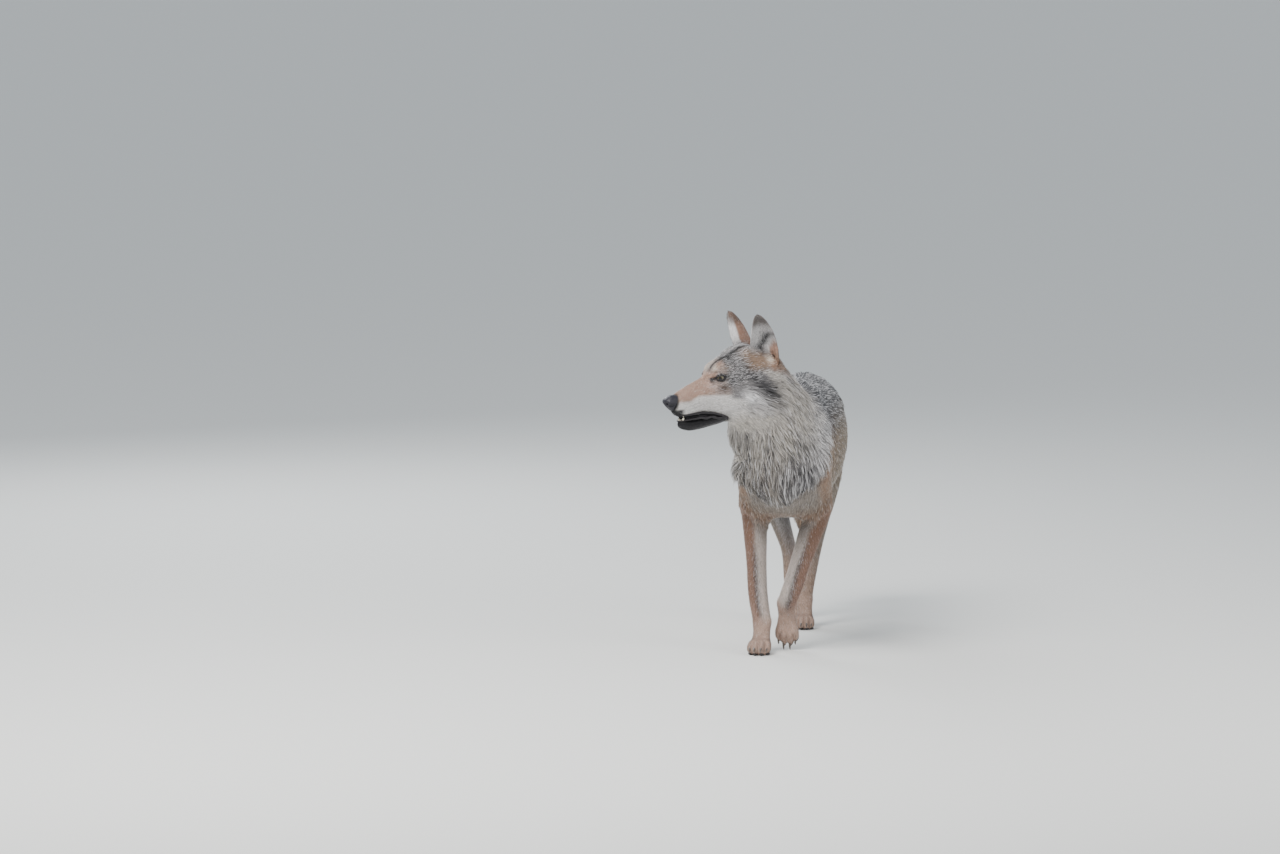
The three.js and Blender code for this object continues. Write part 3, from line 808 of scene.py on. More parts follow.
def coatAt(p, n, weights):
    coat = Coat(len(p))
    for i, group in enumerate(groups):
        here = np.flatnonzero(weights[:, i] > skinShape["leastWeight"])
        if len(here):
            maker, *kind = coatMakers[group]
            part = Coat(len(here))
            maker(part, p[here], n[here], *kind)
            coat.gather(part, here, weights[here, i])
    return coat


skinShape = {
    "closing": 0.0007,  # metres the parts grow by, so that the cuts between them close
    "earClosing": 0.0017,
    "voxel": 0.003,
    "bodySoftening": 30,
    "fineSoftening": 5,
    "givenBackSoftening": 12,
    "depthSoftening": 10,
    "blending": 16,  # steps over which one part's coat passes into the next
    "mostFaces": 128000,  # before the face is made finer
    "finerRound": (32, 24, 17.5),  # millimetres from each eye, cut once more each time
    "leastWeight": 0.002,
}


def solidTree():
    # The parts as one tree of faces, and the group of each face.
    points, faces, owner = [], [], []
    for name in fleshNodes:
        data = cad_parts[name].data
        start = len(points)
        points += [v.co.copy() for v in data.vertices]
        for face in data.polygons:
            faces.append([start + i for i in face.vertices])
            owner.append(groups.index(groupOfNode[name]))
    return BVHTree.FromPolygons(points, faces), np.array(owner)


def groupWeights(piece, near, softening):
    tree, owner = solidTree()
    hard = np.zeros((len(piece.data.vertices), len(groups)))
    for i, vertex in enumerate(piece.data.vertices):
        hard[i, owner[tree.find_nearest(vertex.co)[2]]] = 1
    return near.soften(hard, softening)


def makeSkin():
    copies = [copyOfNode(name) for name in fleshNodes]
    for copy in copies:
        grown = skinShape["earClosing"] if "ear" in copy.name else skinShape["closing"]
        setPoints(copy, pointsOf(copy) + normalsOf(copy) * grown)
    # The lids close over the eyes first, and are opened once the skin is one piece.
    for side in (1, -1):
        lid = newSphere("lid", 32, 24)
        setHeadPoints(lid, eyeAxes(side)[0] + pointsOf(lid) * (eyeShape["radius"] + eyeShape["lidGap"]))
        copies.append(lid)
    skin = joined("skin", copies)
    useModifier(skin, "REMESH", mode="VOXEL", voxel_size=skinShape["voxel"], use_smooth_shade=True)
    return skin


def keepWeights(piece, weights):
    for i, group in enumerate(groups):
        part = piece.data.attributes.new("part_" + group, "FLOAT", "POINT")
        part.data.foreach_set("value", weights[:, i].astype(np.float32))


def readWeights(piece):
    columns = [
        valuesOf(piece.data.attributes["part_" + group].data, "value", 1, np.float32) for group in groups
    ]
    weights = np.concatenate(columns, 1).astype(float)
    return weights / np.maximum(weights.sum(1, keepdims=True), 1e-6)


def sumOf(weights, *names):
    return sum(weights[:, groups.index(name)] for name in names)


def sinkSkin(skin):
    # Rounds off the solids' facets, then lies under the tips by the coat's depth.
    near = Neighbours(skin)
    weights = groupWeights(skin, near, skinShape["blending"])
    fine = np.clip(sumOf(weights, "earLeft", "earRight", "paw", "hangingPaw", "jaw") * 1.6, 0, 1)[:, None]
    start = pointsOf(skin)
    soft = near.soften(start, skinShape["fineSoftening"])
    softer = near.soften(soft, skinShape["bodySoftening"])
    points = soft * fine + softer * (1 - fine)
    setPoints(skin, points)
    normals = normalsOf(skin)

    # The softening thins the limbs, so what they lost is given back evenly.
    body = 1 - sumOf(weights, "head", "jaw", "earLeft", "earRight", "paw", "hangingPaw")
    lost = np.maximum(((start - points) * normals).sum(1), 0)[:, None]
    givenBack = near.soften(lost, skinShape["givenBackSoftening"]) * np.clip(body, 0, 1)[:, None]
    points = points + normals * givenBack
    setPoints(skin, points)
    normals = normalsOf(skin)
    coat = coatAt(toWolf(points), normals, weights)
    depth = near.soften(coat.depth[:, None], skinShape["depthSoftening"])
    points = points - normals * depth * millimetre
    setPoints(skin, near.soften(points, 3, 0.6) * (1 - fine) + points * fine)
    keepWeights(skin, weights)


def thinSkin(skin):
    # Fewer faces where it is even, before the lips and lids are made finer.
    useModifier(skin, "DECIMATE", ratio=min(1, skinShape["mostFaces"] / trianglesIn(skin)))


# Each paw: its middle on the ground, turn and droop in degrees, and size.
paws = {
    "foreRight": ((-57, -57, 0), -4, 0, 1.0),
    "foreLeft": ((2, 22, 61), -4, 76, 1.0),
    "hindRight": ((-32, 515, 0), -3, 0, 0.9),
    "hindLeft": ((12, 388, 0), 2, 0, 0.9),
}
# Sizes and places on a paw, in paw sizes.
pawShape = {
    "toes": [(-0.68, 1.16), (-0.26, 1.52), (0.26, 1.52), (0.68, 1.16)],  # out and ahead
    "toe": (0.21, 0.30, 0.12),
    "heel": (0.5, 0.34, 0.13),
    "heelAhead": -0.42,
    "padSegments": (20, 12),
    "grooves": [(-0.5, 0.75), (0.0, 0.8), (0.5, 0.75)],  # out, and where each starts
    "grooveWidth": 0.13,
    "grooveDepth": 0.2,
    "padOffFloor": 0.1,  # millimetres
}


def pawAxes(name):
    middle, turn, droop, size = paws[name]
    turn, droop = math.radians(turn), math.radians(droop)
    left = np.array((math.cos(turn), math.sin(turn), 0))
    level = np.array((-math.sin(turn), math.cos(turn), 0))
    back = level * math.cos(droop) + upwards * math.sin(droop)
    return np.array(middle, float), np.array([left, back, np.cross(left, back)]), size * stance["pawSize"]


def inPaws(local):
    # Each paw's own places, in paw sizes: out to the left, ahead, and up.
    found = []
    for name in paws:
        middle, axes, size = pawAxes(name)
        place = ((local - middle) @ axes.T) / size
        place[:, 1] *= -1
        found.append((place, axes, size))
    return found


def overToes(place, start, top):
    out, ahead, above = place.T
    return (np.abs(out) < 1.2) & (ahead > start) & (ahead < 2.6) & (above > -0.2) & (above < top)


def sculptToes(skin):
    # Grooves between the toes, over the front of each paw.
    points = toWolf(pointsOf(skin))
    for place, axes, size in inPaws(points):
        out, ahead, above = place.T
        push = np.zeros(len(points))
        for gap, start in pawShape["grooves"]:
            line = gap * ramp(ahead, 0.2, 1.2)
            groove = hump(out, line, pawShape["grooveWidth"]) * ramp(ahead, start - 0.35, start + 0.2)
            push = np.maximum(push, groove)
        push *= overToes(place, 0.3, 1.3) * ramp(above, 1.3, 0.9)
        way = unit(np.stack([0 * out, -ahead * 0.7, above + 0.4], 1) @ axes)
        points = points - (push * size * pawShape["grooveDepth"])[:, None] * way
    setPoints(skin, toWorld(points))


def cutFaces(skin, picked):
    chooseOnly(skin)
    bpy.ops.object.mode_set(mode="EDIT")
    bpy.ops.mesh.select_mode(type="FACE")
    bpy.ops.mesh.select_all(action="DESELECT")
    bpy.ops.object.mode_set(mode="OBJECT")
    skin.data.polygons.foreach_set("select", picked)
    bpy.ops.object.mode_set(mode="EDIT")
    bpy.ops.mesh.subdivide(number_cuts=1)
    bpy.ops.mesh.quads_convert_to_tris()
    bpy.ops.object.mode_set(mode="OBJECT")


def refineFace(skin):
    # Smaller faces along the lips, round the eyes and over the toes.
    for step, reach in enumerate(skinShape["finerRound"]):
        places = toWolf(valuesOf(skin.data.polygons, "center", 3))
        local = headLocal(places)
        apart = [np.linalg.norm(local - eyeAxes(side)[0], axis=1) for side in (1, -1)]
        picked = np.minimum(*apart) < reach
        if step == 0:
            for place, _, _ in inPaws(places):
                picked |= overToes(place, 0.5, 1.2)
            left, ahead, up = local.T
            picked |= (ahead > 105) & (np.abs(left) < 60) & (up < -28) & (up > -95)
        cutFaces(skin, picked)
    near = Neighbours(skin)
    points = pointsOf(skin)
    left, ahead, up = headLocal(toWolf(points)).T
    onFace = ramp(ahead, 70, 90) * ramp(np.abs(left), 92, 86) * ramp(np.abs(up), 115, 105)
    soft = near.soften(points, 3, 0.7)
    setPoints(skin, points + (soft - points) * onFace[:, None])


faceFolds = [
    # left, forward and up of each swelling or dent, its reach, and its height
    ((20, 143, 33), 11, 3.0),
    ((30, 132, 33), 13, 2.2),
    ((24, 156, 8), 8, -1.8),
    ((36, 150, -6), 11, 1.2),
    ((46, 124, -9), 9, -1.6),
    ((52, 108, 10), 14, 1.5),
    ((18, 168, 8), 12, -1.6),
    ((58, 88, -30), 22, 3.0),
]
# How far the upper lips hang over the lower, towards the front.
lipHang = {"ahead": [120, 150, 180, 200, 222, 262], "drop": [0, 2, 2, 8, 11, 9]}


def openLids(local):
    # The skin stands off each eye as a lid, and lies inside the ball where the eye is open.
    share = lidDistance(local)
    for side in (1, -1):
        centre = eyeAxes(side)[0]
        arm = local - centre
        reach = np.linalg.norm(arm, axis=1)
        here = (reach < eyeShape["lidReach"]) & (share < farFromLids)
        edge = eyeShape["lidEdge"]
        target = blend(eyeShape["openRadius"], eyeShape["lidRadius"], ramp(share, 0.9, edge))
        hold = ramp(share, 2.5, 1.35) * here
        covered = np.maximum(blend(reach, target, hold), np.where(here & (share > edge), target, 0))
        moved = centre + arm / np.maximum(reach, 1e-6)[:, None] * covered[:, None]
        local = np.where(here[:, None], moved, local)
    return local


def sculptFace(skin):
    local = headLocal(toWolf(pointsOf(skin)))
    facing = normalsOf(skin) @ headAxes.T
    for middle, reach, height in faceFolds:
        for side in (1, -1):
            apart = np.linalg.norm(local - np.array(middle) * (side, 1, 1), axis=1)
            local = local + facing * (height * hump(apart, 0, reach))[:, None]
    ahead = local[:, 1]
    drop = np.interp(ahead, lipHang["ahead"], lipHang["drop"])
    lower = ramp(local[:, 2], -36, -54) * ramp(local[:, 2], -76, -68)
    local[:, 2] -= drop * lower
    local[:, 1] -= 6 * ramp(ahead, 222, 252) * lower
    place = headPlace(openLids(local))
    place[:, 2] = np.maximum(place[:, 2], stance["offFloor"])
    setPoints(skin, toWorld(place))


skin = makeSkin()
sinkSkin(skin)
thinSkin(skin)
refineFace(skin)
sculptToes(skin)
sculptFace(skin)
weights = readWeights(skin)
bpy.ops.object.select_all(action="DESELECT")
print("skin:", trianglesIn(skin), "triangles")


tuftShape = {
    "middleFrom": 13,  # tufts at least this long, in mm, get one bend
    "longFrom": 42,  # and two bends from here
    "lengths": (0.7, 1.2),  # the least and most, as shares of the coat's length
    "heights": (0.68, 1.1),  # of their tips, as shares of its depth
    "turning": 0.16,
    "leaning": (0.75, 1.25),  # shares of the width
    "wrapping": 0.2,  # a tuft that would turn further than this round an edge is laid straight
    "evenness": 0.6,  # how far the light falls on them as on the body below
    "clumpPull": 0.5,
    "clumpSize": 3.2,  # tufts' widths between the middles of two locks
    "shading": 0.13,
    "shades": (0.6, 1.4),
    # the roots are painted this much darker, as painted shade deep in the coat
    "rootShade": 0.7,
    "middleAt": 0.4,  # along a tuft, where its middle colour stands
    "darkHairs": 0.4,
    "paleHairs": 0.32,
    "patch": 0.003,  # of each tuft on the baking map
    "mostFaces": 190000,
}
# Each kind of tuft: how far along it its rings of three points stand, and how wide they are.
tuftKinds = {
    "short": ([0], [1.0]),
    "middle": ([0, 0.45], [0.75, 1.0]),
    "long": ([0, 0.35, 0.72], [0.7, 1.0, 0.72]),
}


def unwrap(piece):
    editAll(piece, bpy.ops.uv.smart_project, angle_limit=math.radians(66), island_margin=0.002)
    layer = piece.data.uv_layers.active
    layer.name = "OFBake"
    return valuesOf(layer.uv, "vector", 2, np.float32)


class Roots:
    # Where the tufts stand, spread over the skin as thickly as the coat needs.
    def __init__(self, piece, weights, spread):
        piece.data.calc_loop_triangles()
        corners = valuesOf(piece.data.loop_triangles, "vertices", 3, np.int32)
        loops = valuesOf(piece.data.loop_triangles, "loops", 3, np.int32)
        normals = normalsOf(piece)
        p = toWolf(pointsOf(piece))
        coat = coatAt(p, normals, weights)
        a, b, c = (p[corners[:, i]] for i in range(3))
        area = np.linalg.norm(np.cross(b - a, c - a), axis=1) / 2
        density = coat.cover / (np.maximum(coat.length, 4) * np.maximum(coat.width, 1) * 0.5)
        wanted = np.cumsum(area * density[corners].mean(1) * spread)
        self.count = int(wanted[-1])
        picks = (np.arange(self.count) + dice.random(self.count)) * wanted[-1] / self.count
        face = np.minimum(np.searchsorted(wanted, picks), len(wanted) - 1)
        u, v = dice.random((2, self.count))
        over = u + v > 1
        u[over], v[over] = 1 - u[over], 1 - v[over]
        share = np.stack([1 - u - v, u, v], 1)[..., None]
        chosen = corners[face]
        self.place = (p[chosen] * share).sum(1)
        self.normal = unit((normals[chosen] * share).sum(1))
        self.weights = (weights[chosen] * share).sum(1)
        self.onMap = (unwrap(piece)[loops[face]] * share).sum(1)
        self.coat = coatAt(self.place, self.normal, self.weights)
        self.lean = dice.uniform(*tuftShape["leaning"], self.count)


def lieOf(flow, normal):
    return unit(flow - normal * (flow * normal).sum(1)[:, None])


def nearSkin(tree, points):
    places = np.empty_like(points)
    normals = np.empty_like(points)
    for i, point in enumerate(toWorld(points)):
        places[i], normals[i], _, _ = tree.find_nearest(Vector(point))
    return toWolf(places), normals


def bendTufts(roots, tree):
    # Each tuft follows the body: its middle and tip are brought back to the skin and raised again.
    coat = roots.coat
    count = roots.count
    length = coat.length * dice.uniform(*tuftShape["lengths"], count)
    raised = (coat.depth * dice.uniform(*tuftShape["heights"], count) + 0.25 * coat.width)[:, None]
    lie = lieOf(coat.flow, roots.normal)
    turn = dice.normal(0, tuftShape["turning"], count)[:, None]
    lie = unit(lie * np.cos(turn) + np.cross(roots.normal, lie) * np.sin(turn))
    reach = np.sqrt(np.maximum(length**2 - raised[:, 0] ** 2, (0.4 * length) ** 2))[:, None]
    middle, middleNormal = nearSkin(tree, roots.place + lie * reach * 0.5)
    lieThere = lieOf(lie + 0.5 * lieOf(coat.flow, middleNormal), middleNormal)
    tip, tipNormal = nearSkin(tree, middle + lieThere * reach * 0.5)
    middle = middle + middleNormal * raised * 0.72
    tip = tip + tipNormal * raised

    # One that would wrap round a thin edge, as on the ears, ends short and straight instead.
    over = (tipNormal * roots.normal).sum(1) < tuftShape["wrapping"]
    straight = roots.place + lie * reach * 0.5 + roots.normal * raised
    tip[over] = straight[over]
    middle[over] = ((roots.place + straight) / 2 + roots.normal * 0.2 * raised)[over]
    tipNormal[over] = roots.normal[over]
    roots.even = np.where(over, 0.0, tuftShape["evenness"])

    # Neighbouring tufts run together into pointed locks.
    leaders = np.flatnonzero(dice.random(count) < 1 / tuftShape["clumpSize"] ** 2)
    lockTree = KDTree(len(leaders))
    for i in leaders:
        lockTree.insert(Vector(roots.place[i]), i)
    lockTree.balance()
    leader = np.array([lockTree.find(Vector(point))[1] for point in roots.place])
    apart = np.linalg.norm(roots.place - roots.place[leader], axis=1)
    pull = tuftShape["clumpPull"] * ramp(apart, coat.width * 9, coat.width * 4) * ramp(coat.length, 6, 30)
    return blend(middle, middle[leader], pull * 0.4), blend(tip, tip[leader], pull), tipNormal


def tuftColours(roots):
    # The colours at the root, darkened there as painted shade, at the middle and at the tip, with dark and
    # pale hairs among them.
    coat = roots.coat
    shade = np.clip(dice.normal(1, tuftShape["shading"], roots.count), *tuftShape["shades"])[:, None]
    chance = dice.random(roots.count)
    dark = (chance < coat.grizzle * tuftShape["darkHairs"])[:, None]
    pale = (chance > 1 - coat.grizzle * tuftShape["paleHairs"])[:, None]
    tip = np.where(dark, blend(coat.tip, furColours["black"], 0.8), coat.tip)
    tip = np.where(pale, blend(coat.tip, furColours["white"], 0.65), tip)
    half = blend(coat.base, coat.tip, 0.45)
    return [np.clip(part * shade, 0.003, 0.95) for part in (coat.base * tuftShape["rootShade"], half, tip)]


def tuftFaces(rings):
    # The faces of one tuft: its root, its sides, and the point.
    last = 3 * rings
    faces = [[0, 1, 2]]
    for first in range(0, last, 3):
        for a, b in ((0, 1), (1, 2), (2, 0)):
            if first + 3 < last:
                faces.append([first + a, first + 3 + a, first + 3 + b, first + b])
            else:
                faces.append([first + a, last, first + b])
    return faces


def tuftMesh(name, chosen, roots, bend, colours, steps, widths):
    # Three-sided tapered blades: rings of three points, and one point at the tip.
    middle, tip, tipNormal = (part[chosen] for part in bend)
    normal = roots.normal[chosen]
    even = roots.even[chosen]
    width = roots.coat.width[chosen] * roots.lean[chosen]
    rootBelow = roots.place[chosen] - normal * np.minimum(1.0, 0.3 * width)[:, None]
    handle = 2 * middle - (rootBelow + tip) / 2
    middleAt = tuftShape["middleAt"]
    count = len(chosen)
    span = 3 * len(steps) + 1
    points, shades, lit = np.empty((3, count, span, 3))
    for k, (t, wide) in enumerate(zip(steps, widths)):
        centre = rootBelow * (1 - t) ** 2 + handle * 2 * t * (1 - t) + tip * t**2
        ahead = unit((handle - rootBelow) * (1 - t) + (tip - handle) * t)
        body = blend(normal, tipNormal, t)
        aside = unit(np.cross(ahead, unit(body)))
        out = np.cross(aside, ahead)
        half = (width * wide / 2)[:, None]
        points[:, 3 * k] = centre - aside * half
        points[:, 3 * k + 1] = centre + aside * half
        points[:, 3 * k + 2] = centre + out * half * 0.7
        for corner, own in enumerate((out * 0.3 - aside, out * 0.3 + aside, out)):
            lit[:, 3 * k + corner] = unit(blend(unit(own), body, even))
        first, share = (0, t / middleAt) if t < middleAt else (1, (t - middleAt) / (1 - middleAt))
        tint = blend(colours[first], colours[first + 1], share)
        shades[:, 3 * k : 3 * k + 3] = tint[chosen][:, None]
    points[:, -1] = tip
    points[..., 2] = np.maximum(points[..., 2], stance["offFloor"])
    shades[:, -1] = colours[2][chosen]
    lit[:, -1] = unit(blend(out, tipNormal, even / tuftShape["evenness"]))

    faces = tuftFaces(len(steps))
    sizes = np.array([len(face) for face in faces])
    loopsOfOne = np.concatenate(faces)
    tufts = np.arange(count)[:, None]
    loops = (loopsOfOne[None] + tufts * span).ravel()
    starts = ((np.cumsum(sizes) - sizes)[None] + tufts * sizes.sum()).ravel()
    mesh = bpy.data.meshes.new(name)
    mesh.vertices.add(count * span)
    mesh.vertices.foreach_set("co", toWorld(points).ravel())
    mesh.loops.add(len(loops))
    mesh.loops.foreach_set("vertex_index", loops.astype(np.int32))
    mesh.polygons.add(len(starts))
    mesh.polygons.foreach_set("loop_start", starts.astype(np.int32))
    mesh.polygons.foreach_set("use_smooth", np.ones(len(starts), bool))
    mesh.update(calc_edges=True)
    mesh.normals_split_custom_set_from_vertices(lit.reshape(-1, 3).tolist())

    across = np.array([0.0, 1.0, 0.5] * len(steps) + [0.5])
    along = np.array([t for t in steps for _ in range(3)] + [1.0])
    flat = np.stack([across, along], 1)
    strand = flat[loopsOfOne][None] + dice.random((count, 1, 2)) * 40
    patch = (flat - 0.5)[loopsOfOne] * tuftShape["patch"]
    bake = np.clip(roots.onMap[chosen][:, None] + patch[None], 0, 1)
    for layerName, values in (("OFBake", bake), ("strand", strand)):
        layer = mesh.uv_layers.new(name=layerName)
        layer.uv.foreach_set("vector", values.astype(np.float32).ravel())
    paint(mesh, shades)
    return newObject(name, mesh)


def makeCoat(skin, weights, spread):
    roots = Roots(skin, weights, spread)
    mesh = skin.data
    tree = BVHTree.FromPolygons(
        [v.co.copy() for v in mesh.vertices], [tuple(face.vertices) for face in mesh.polygons]
    )
    bend = bendTufts(roots, tree)
    colours = tuftColours(roots)
    main = roots.weights.argmax(1)
    length = roots.coat.length
    tall = (length >= tuftShape["middleFrom"]) * 1 + (length >= tuftShape["longFrom"])
    pieces = []
    for i, group in enumerate(groups):
        for height, (kind, (steps, widths)) in enumerate(tuftKinds.items()):
            chosen = np.flatnonzero((main == i) & (tall == height))
            if len(chosen) == 0:
                continue
            chosen = chosen[np.argsort(roots.place[chosen, 1], kind="stable")]
            most = tuftShape["mostFaces"] // (6 * len(steps) - 2)
            for k, share in enumerate(np.array_split(chosen, math.ceil(len(chosen) / most))):
                name = f"coat_{group}_{kind}_{k + 1}"
                pieces.append(tuftMesh(name, share, roots, bend, colours, steps, widths))
    print("coat:", roots.count, "tufts in", len(pieces), "pieces")
    return pieces


class Socket:
    # A shader value that can be written in sums.
    def __init__(self, nodes, socket):
        self.nodes = nodes
        self.socket = socket

    def maths(self, operation, *values):
        return self.nodes.add("ShaderNodeMath", {"operation": operation}, dict(enumerate(values)))

    def __add__(self, other):
        return self.maths("ADD", self, other)

    def __mul__(self, other):
        return self.maths("MULTIPLY", self, other)

    def __sub__(self, other):
        return self.maths("SUBTRACT", self, other)

    def __rsub__(self, other):
        return self.maths("SUBTRACT", other, self)

    __radd__ = __add__
    __rmul__ = __mul__


class Finish:
    # A material and its nodes.
    def __init__(self, name, **constants):
        self.material = bpy.data.materials.new(name)
        self.material.use_nodes = True
        self.tree = self.material.node_tree
        self.shader = self.tree.nodes["Principled BSDF"]
        for key, value in constants.items():
            self.shader.inputs[key].default_value = value

    def add(self, kind, settings=None, inputs=None, output=0):
        node = self.tree.nodes.new(kind)
        for key, value in (settings or {}).items():
            if key == "stops":
                while len(node.color_ramp.elements) < len(value):
                    node.color_ramp.elements.new(0.5)
                for element, (place, shade) in zip(node.color_ramp.elements, value):
                    element.position = place
                    element.color = (*shade, 1)
            else:
                setattr(node, key, value)
        for key, value in (inputs or {}).items():
            self.link(node.inputs[key], value)
        return Socket(self, node.outputs[output])

    def link(self, target, value):
        if isinstance(value, Socket):
            self.tree.links.new(value.socket, target)
        else:
            target.default_value = value

    def feed(self, name, value):
        self.link(self.shader.inputs[name], value)

    def mix(self, share, first, second, way="MIX"):
        return self.add(
            "ShaderNodeMix", {"data_type": "RGBA", "blend_type": way}, {0: share, 6: first, 7: second}, 2
        )

    def place(self):
        return self.add("ShaderNodeTexCoord", output=3)

    def stretched(self, scale):
        return self.add("ShaderNodeMapping", None, {"Vector": self.place(), "Scale": scale})

    def noise(self, place, scale=1.0, detail=3.0):
        return self.add("ShaderNodeTexNoise", None, {"Vector": place, "Scale": scale, "Detail": detail})

    def shadeBy(self, tint, value):
        grey = self.add("ShaderNodeCombineColor", None, {0: value, 1: value, 2: value})
        self.feed("Base Color", self.mix(1.0, tint, grey, "MULTIPLY"))

    def raiseBy(self, height, strength, distance):
        values = {"Strength": strength, "Distance": distance, "Height": height}
        self.feed("Normal", self.add("ShaderNodeBump", None, values))


def coatFinish():
    finish = Finish("wolf_coat", **{"Roughness": 0.62, "Specular IOR Level": 0.35, "Sheen Weight": 0.15})
    tint = finish.add("ShaderNodeAttribute", {"attribute_name": "coat"})
    strand = finish.add("ShaderNodeUVMap", {"uv_map": "strand"})
    combed = finish.add("ShaderNodeVectorMath", {"operation": "MULTIPLY"}, {0: strand, 1: (7, 0.8, 1)})
    hairs = finish.noise(combed, detail=2.0)
    finish.shadeBy(tint, hairs * 1.1 + 0.42)
    finish.raiseBy(hairs, 0.5, 0.0008)
    return finish.material


def skinFinish():
    finish = Finish("wolf_skin", **{"Roughness": 0.75, "Specular IOR Level": 0.25})
    tint = finish.add("ShaderNodeAttribute", {"attribute_name": "coat"})
    hairs = finish.noise(finish.stretched((900, 900, 220)))
    finish.shadeBy(tint, hairs * 0.8 + 0.5)
    finish.raiseBy(hairs, 0.6, 0.001)
    return finish.material


def paintSkin(skin, weights):
    coat = coatAt(toWolf(pointsOf(skin)), normalsOf(skin), weights)
    # Painted shade: the skin's colour is darkened where long fur lies over it.
    shadedUnderCoat = ramp(coat.length, 8, 30)[:, None]
    paint(skin.data, blend(coat.base, coat.tip, 0.5) * (1 - 0.3 * shadedUnderCoat))


def smoothPath(stops, steps):
    # A smooth line through the stops, and whatever values stand beside them.
    knots = np.linspace(0, len(stops) - 1, steps)
    first = np.minimum(knots.astype(int), len(stops) - 2)
    t = (knots - first)[:, None]
    a, b, c, d = (stops[np.clip(first + i, 0, len(stops) - 1)] for i in (-1, 0, 1, 2))
    return 0.5 * (2 * b + (c - a) * t + (2 * a - 5 * b + 4 * c - d) * t**2 + (3 * b - a - 3 * c + d) * t**3)


def tube(name, places, radii, closed=False):
    curve = bpy.data.curves.new(name, "CURVE")
    curve.dimensions = "3D"
    curve.bevel_depth = millimetre
    curve.bevel_resolution = 3
    curve.use_fill_caps = not closed
    spline = curve.splines.new("POLY")
    spline.points.add(len(places) - 1)
    spline.use_cyclic_u = closed
    spline.use_smooth = True
    for point, place, radius in zip(spline.points, places, radii):
        point.co = (*place, 1)
        point.radius = radius
    piece = newObject(name, curve)
    chooseOnly(piece)
    bpy.ops.object.convert(target="MESH")
    return piece


eyeball = {
    "segments": (48, 40),
    "corneaAngle": 42,  # degrees from the middle of the iris
    "corneaHeight": 1.1,
    "mapWidth": 30,  # millimetres across the iris map
}


def makeEye(side, name, node):
    centre = eyeAxes(side)[0]
    gaze = unit(np.array(eyeShape["gaze"]) * np.array((side, 1, 1)))
    across = unit(np.cross(upwards, gaze))
    rise = np.cross(gaze, across)
    ball = newSphere(name, *eyeball["segments"])
    points = pointsOf(ball)
    cornea = ramp(points[:, 2], math.cos(math.radians(eyeball["corneaAngle"])), 1)
    radius = eyeShape["radius"] + eyeball["corneaHeight"] * cornea
    setHeadPoints(ball, centre + (points @ np.array([across, rise, gaze])) * radius[:, None])
    corners = valuesOf(ball.data.loops, "vertex_index", 1, np.int32)[:, 0]
    layer = ball.data.uv_layers.active
    layer.name = "iris"
    flat = points[:, :2] * eyeShape["radius"]
    behind = unit(flat) * eyeShape["radius"]
    shown = np.where(points[:, 2:] > 0, flat, behind) / eyeball["mapWidth"] + 0.5
    layer.uv.foreach_set("vector", shown[corners].astype(np.float32).ravel())
    outwards(ball)
    ball.data.materials.append(eyeMaterial)
    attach(ball, "root")
    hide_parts(node)


def makeLid(side, name):
    # The dark bare edge of the lids, which runs on towards the nose at the inner corner.
    centre, facing, across, rise = eyeAxes(side)
    turn = np.linspace(0, 2 * math.pi, eyeShape["rimSteps"], endpoint=False)
    inner = ramp(-np.cos(turn), 0.8, 1)
    sideways = np.radians(np.cos(turn) * eyeShape["halfWidth"] - inner * eyeShape["innerCorner"])
    half = np.where(np.sin(turn) > 0, eyeShape["halfUpper"], eyeShape["halfLower"])
    upward = np.radians(np.sin(turn) * half * np.abs(np.sin(turn)) ** 0.12 - 5 * inner)
    ways = unit(facing + np.tan(sideways)[:, None] * across + np.tan(upward)[:, None] * rise)
    radii = eyeShape["rim"] * (1 - 0.45 * inner) * np.where(np.sin(turn) > 0.2, 1.15, 1.0)
    path = toWorld(headPlace(centre + ways * (eyeShape["radius"] + eyeShape["rimStands"])))
    return tube(name, path, radii, closed=True)


def makeLids():
    lids = joined("eyelid_rims", [makeLid(1, "lidLeft"), makeLid(-1, "lidRight")])
    outwards(lids)
    lids.data.materials.append(lipMaterial)
    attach(lids, "root")


def makeNose():
    nose = newSphere("nose_leather", *noseShape["segments"])
    direction = pointsOf(nose)
    x, y, z = direction.T
    # Rounder than a box and squarer than a ball, its lower half set back and narrower.
    boxy = 1 / (np.abs(direction) ** noseShape["boxiness"]).sum(1) ** (1 / noseShape["boxiness"])
    local = direction * boxy[:, None] * np.array(noseShape["half"])
    below = ramp(-local[:, 2] / noseShape["half"][2], -0.15, 1.0)
    local[:, 0] *= 1 - 0.36 * below
    local[:, 1] -= np.maximum(local[:, 1], 0) * 0.55 * below
    local[:, 2] -= 3.0 * ramp(y, 0.1, 0.9) * ramp(z, 0.2, 0.9)

    def around(side, way, width, height=1.0):
        apart = np.linalg.norm(direction - unit(np.array(way) * (side, 1, 1)), axis=1)
        return height * hump(apart, 0, width)

    # The nostrils run outwards and down from their pits, under swollen wings.
    sink = np.zeros(len(x))
    swell = np.zeros(len(x))
    for side in (1, -1):
        sink += around(side, *noseShape["pit"])
        for t in np.linspace(0, 1, 9):
            slit = (0.52 + 0.42 * t, 0.8 - 0.66 * t, -0.16 - 0.14 * math.sin(3 * t))
            sink = np.maximum(sink, around(side, slit, noseShape["slitWidth"], 4.0 - 2.0 * t))
        swell += around(side, *noseShape["wing"])
    width, depth = noseShape["groove"]
    groove = depth * hump(x, 0, width) * ramp(y, 0.2, 0.5) * ramp(z, 0.3, -0.05)
    local += direction * (swell - sink - groove)[:, None]
    setHeadPoints(nose, local + np.array(noseShape["centre"]))
    outwards(nose)
    nose.data.materials.append(noseMaterial)
    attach(nose, "root")
    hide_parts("nose")


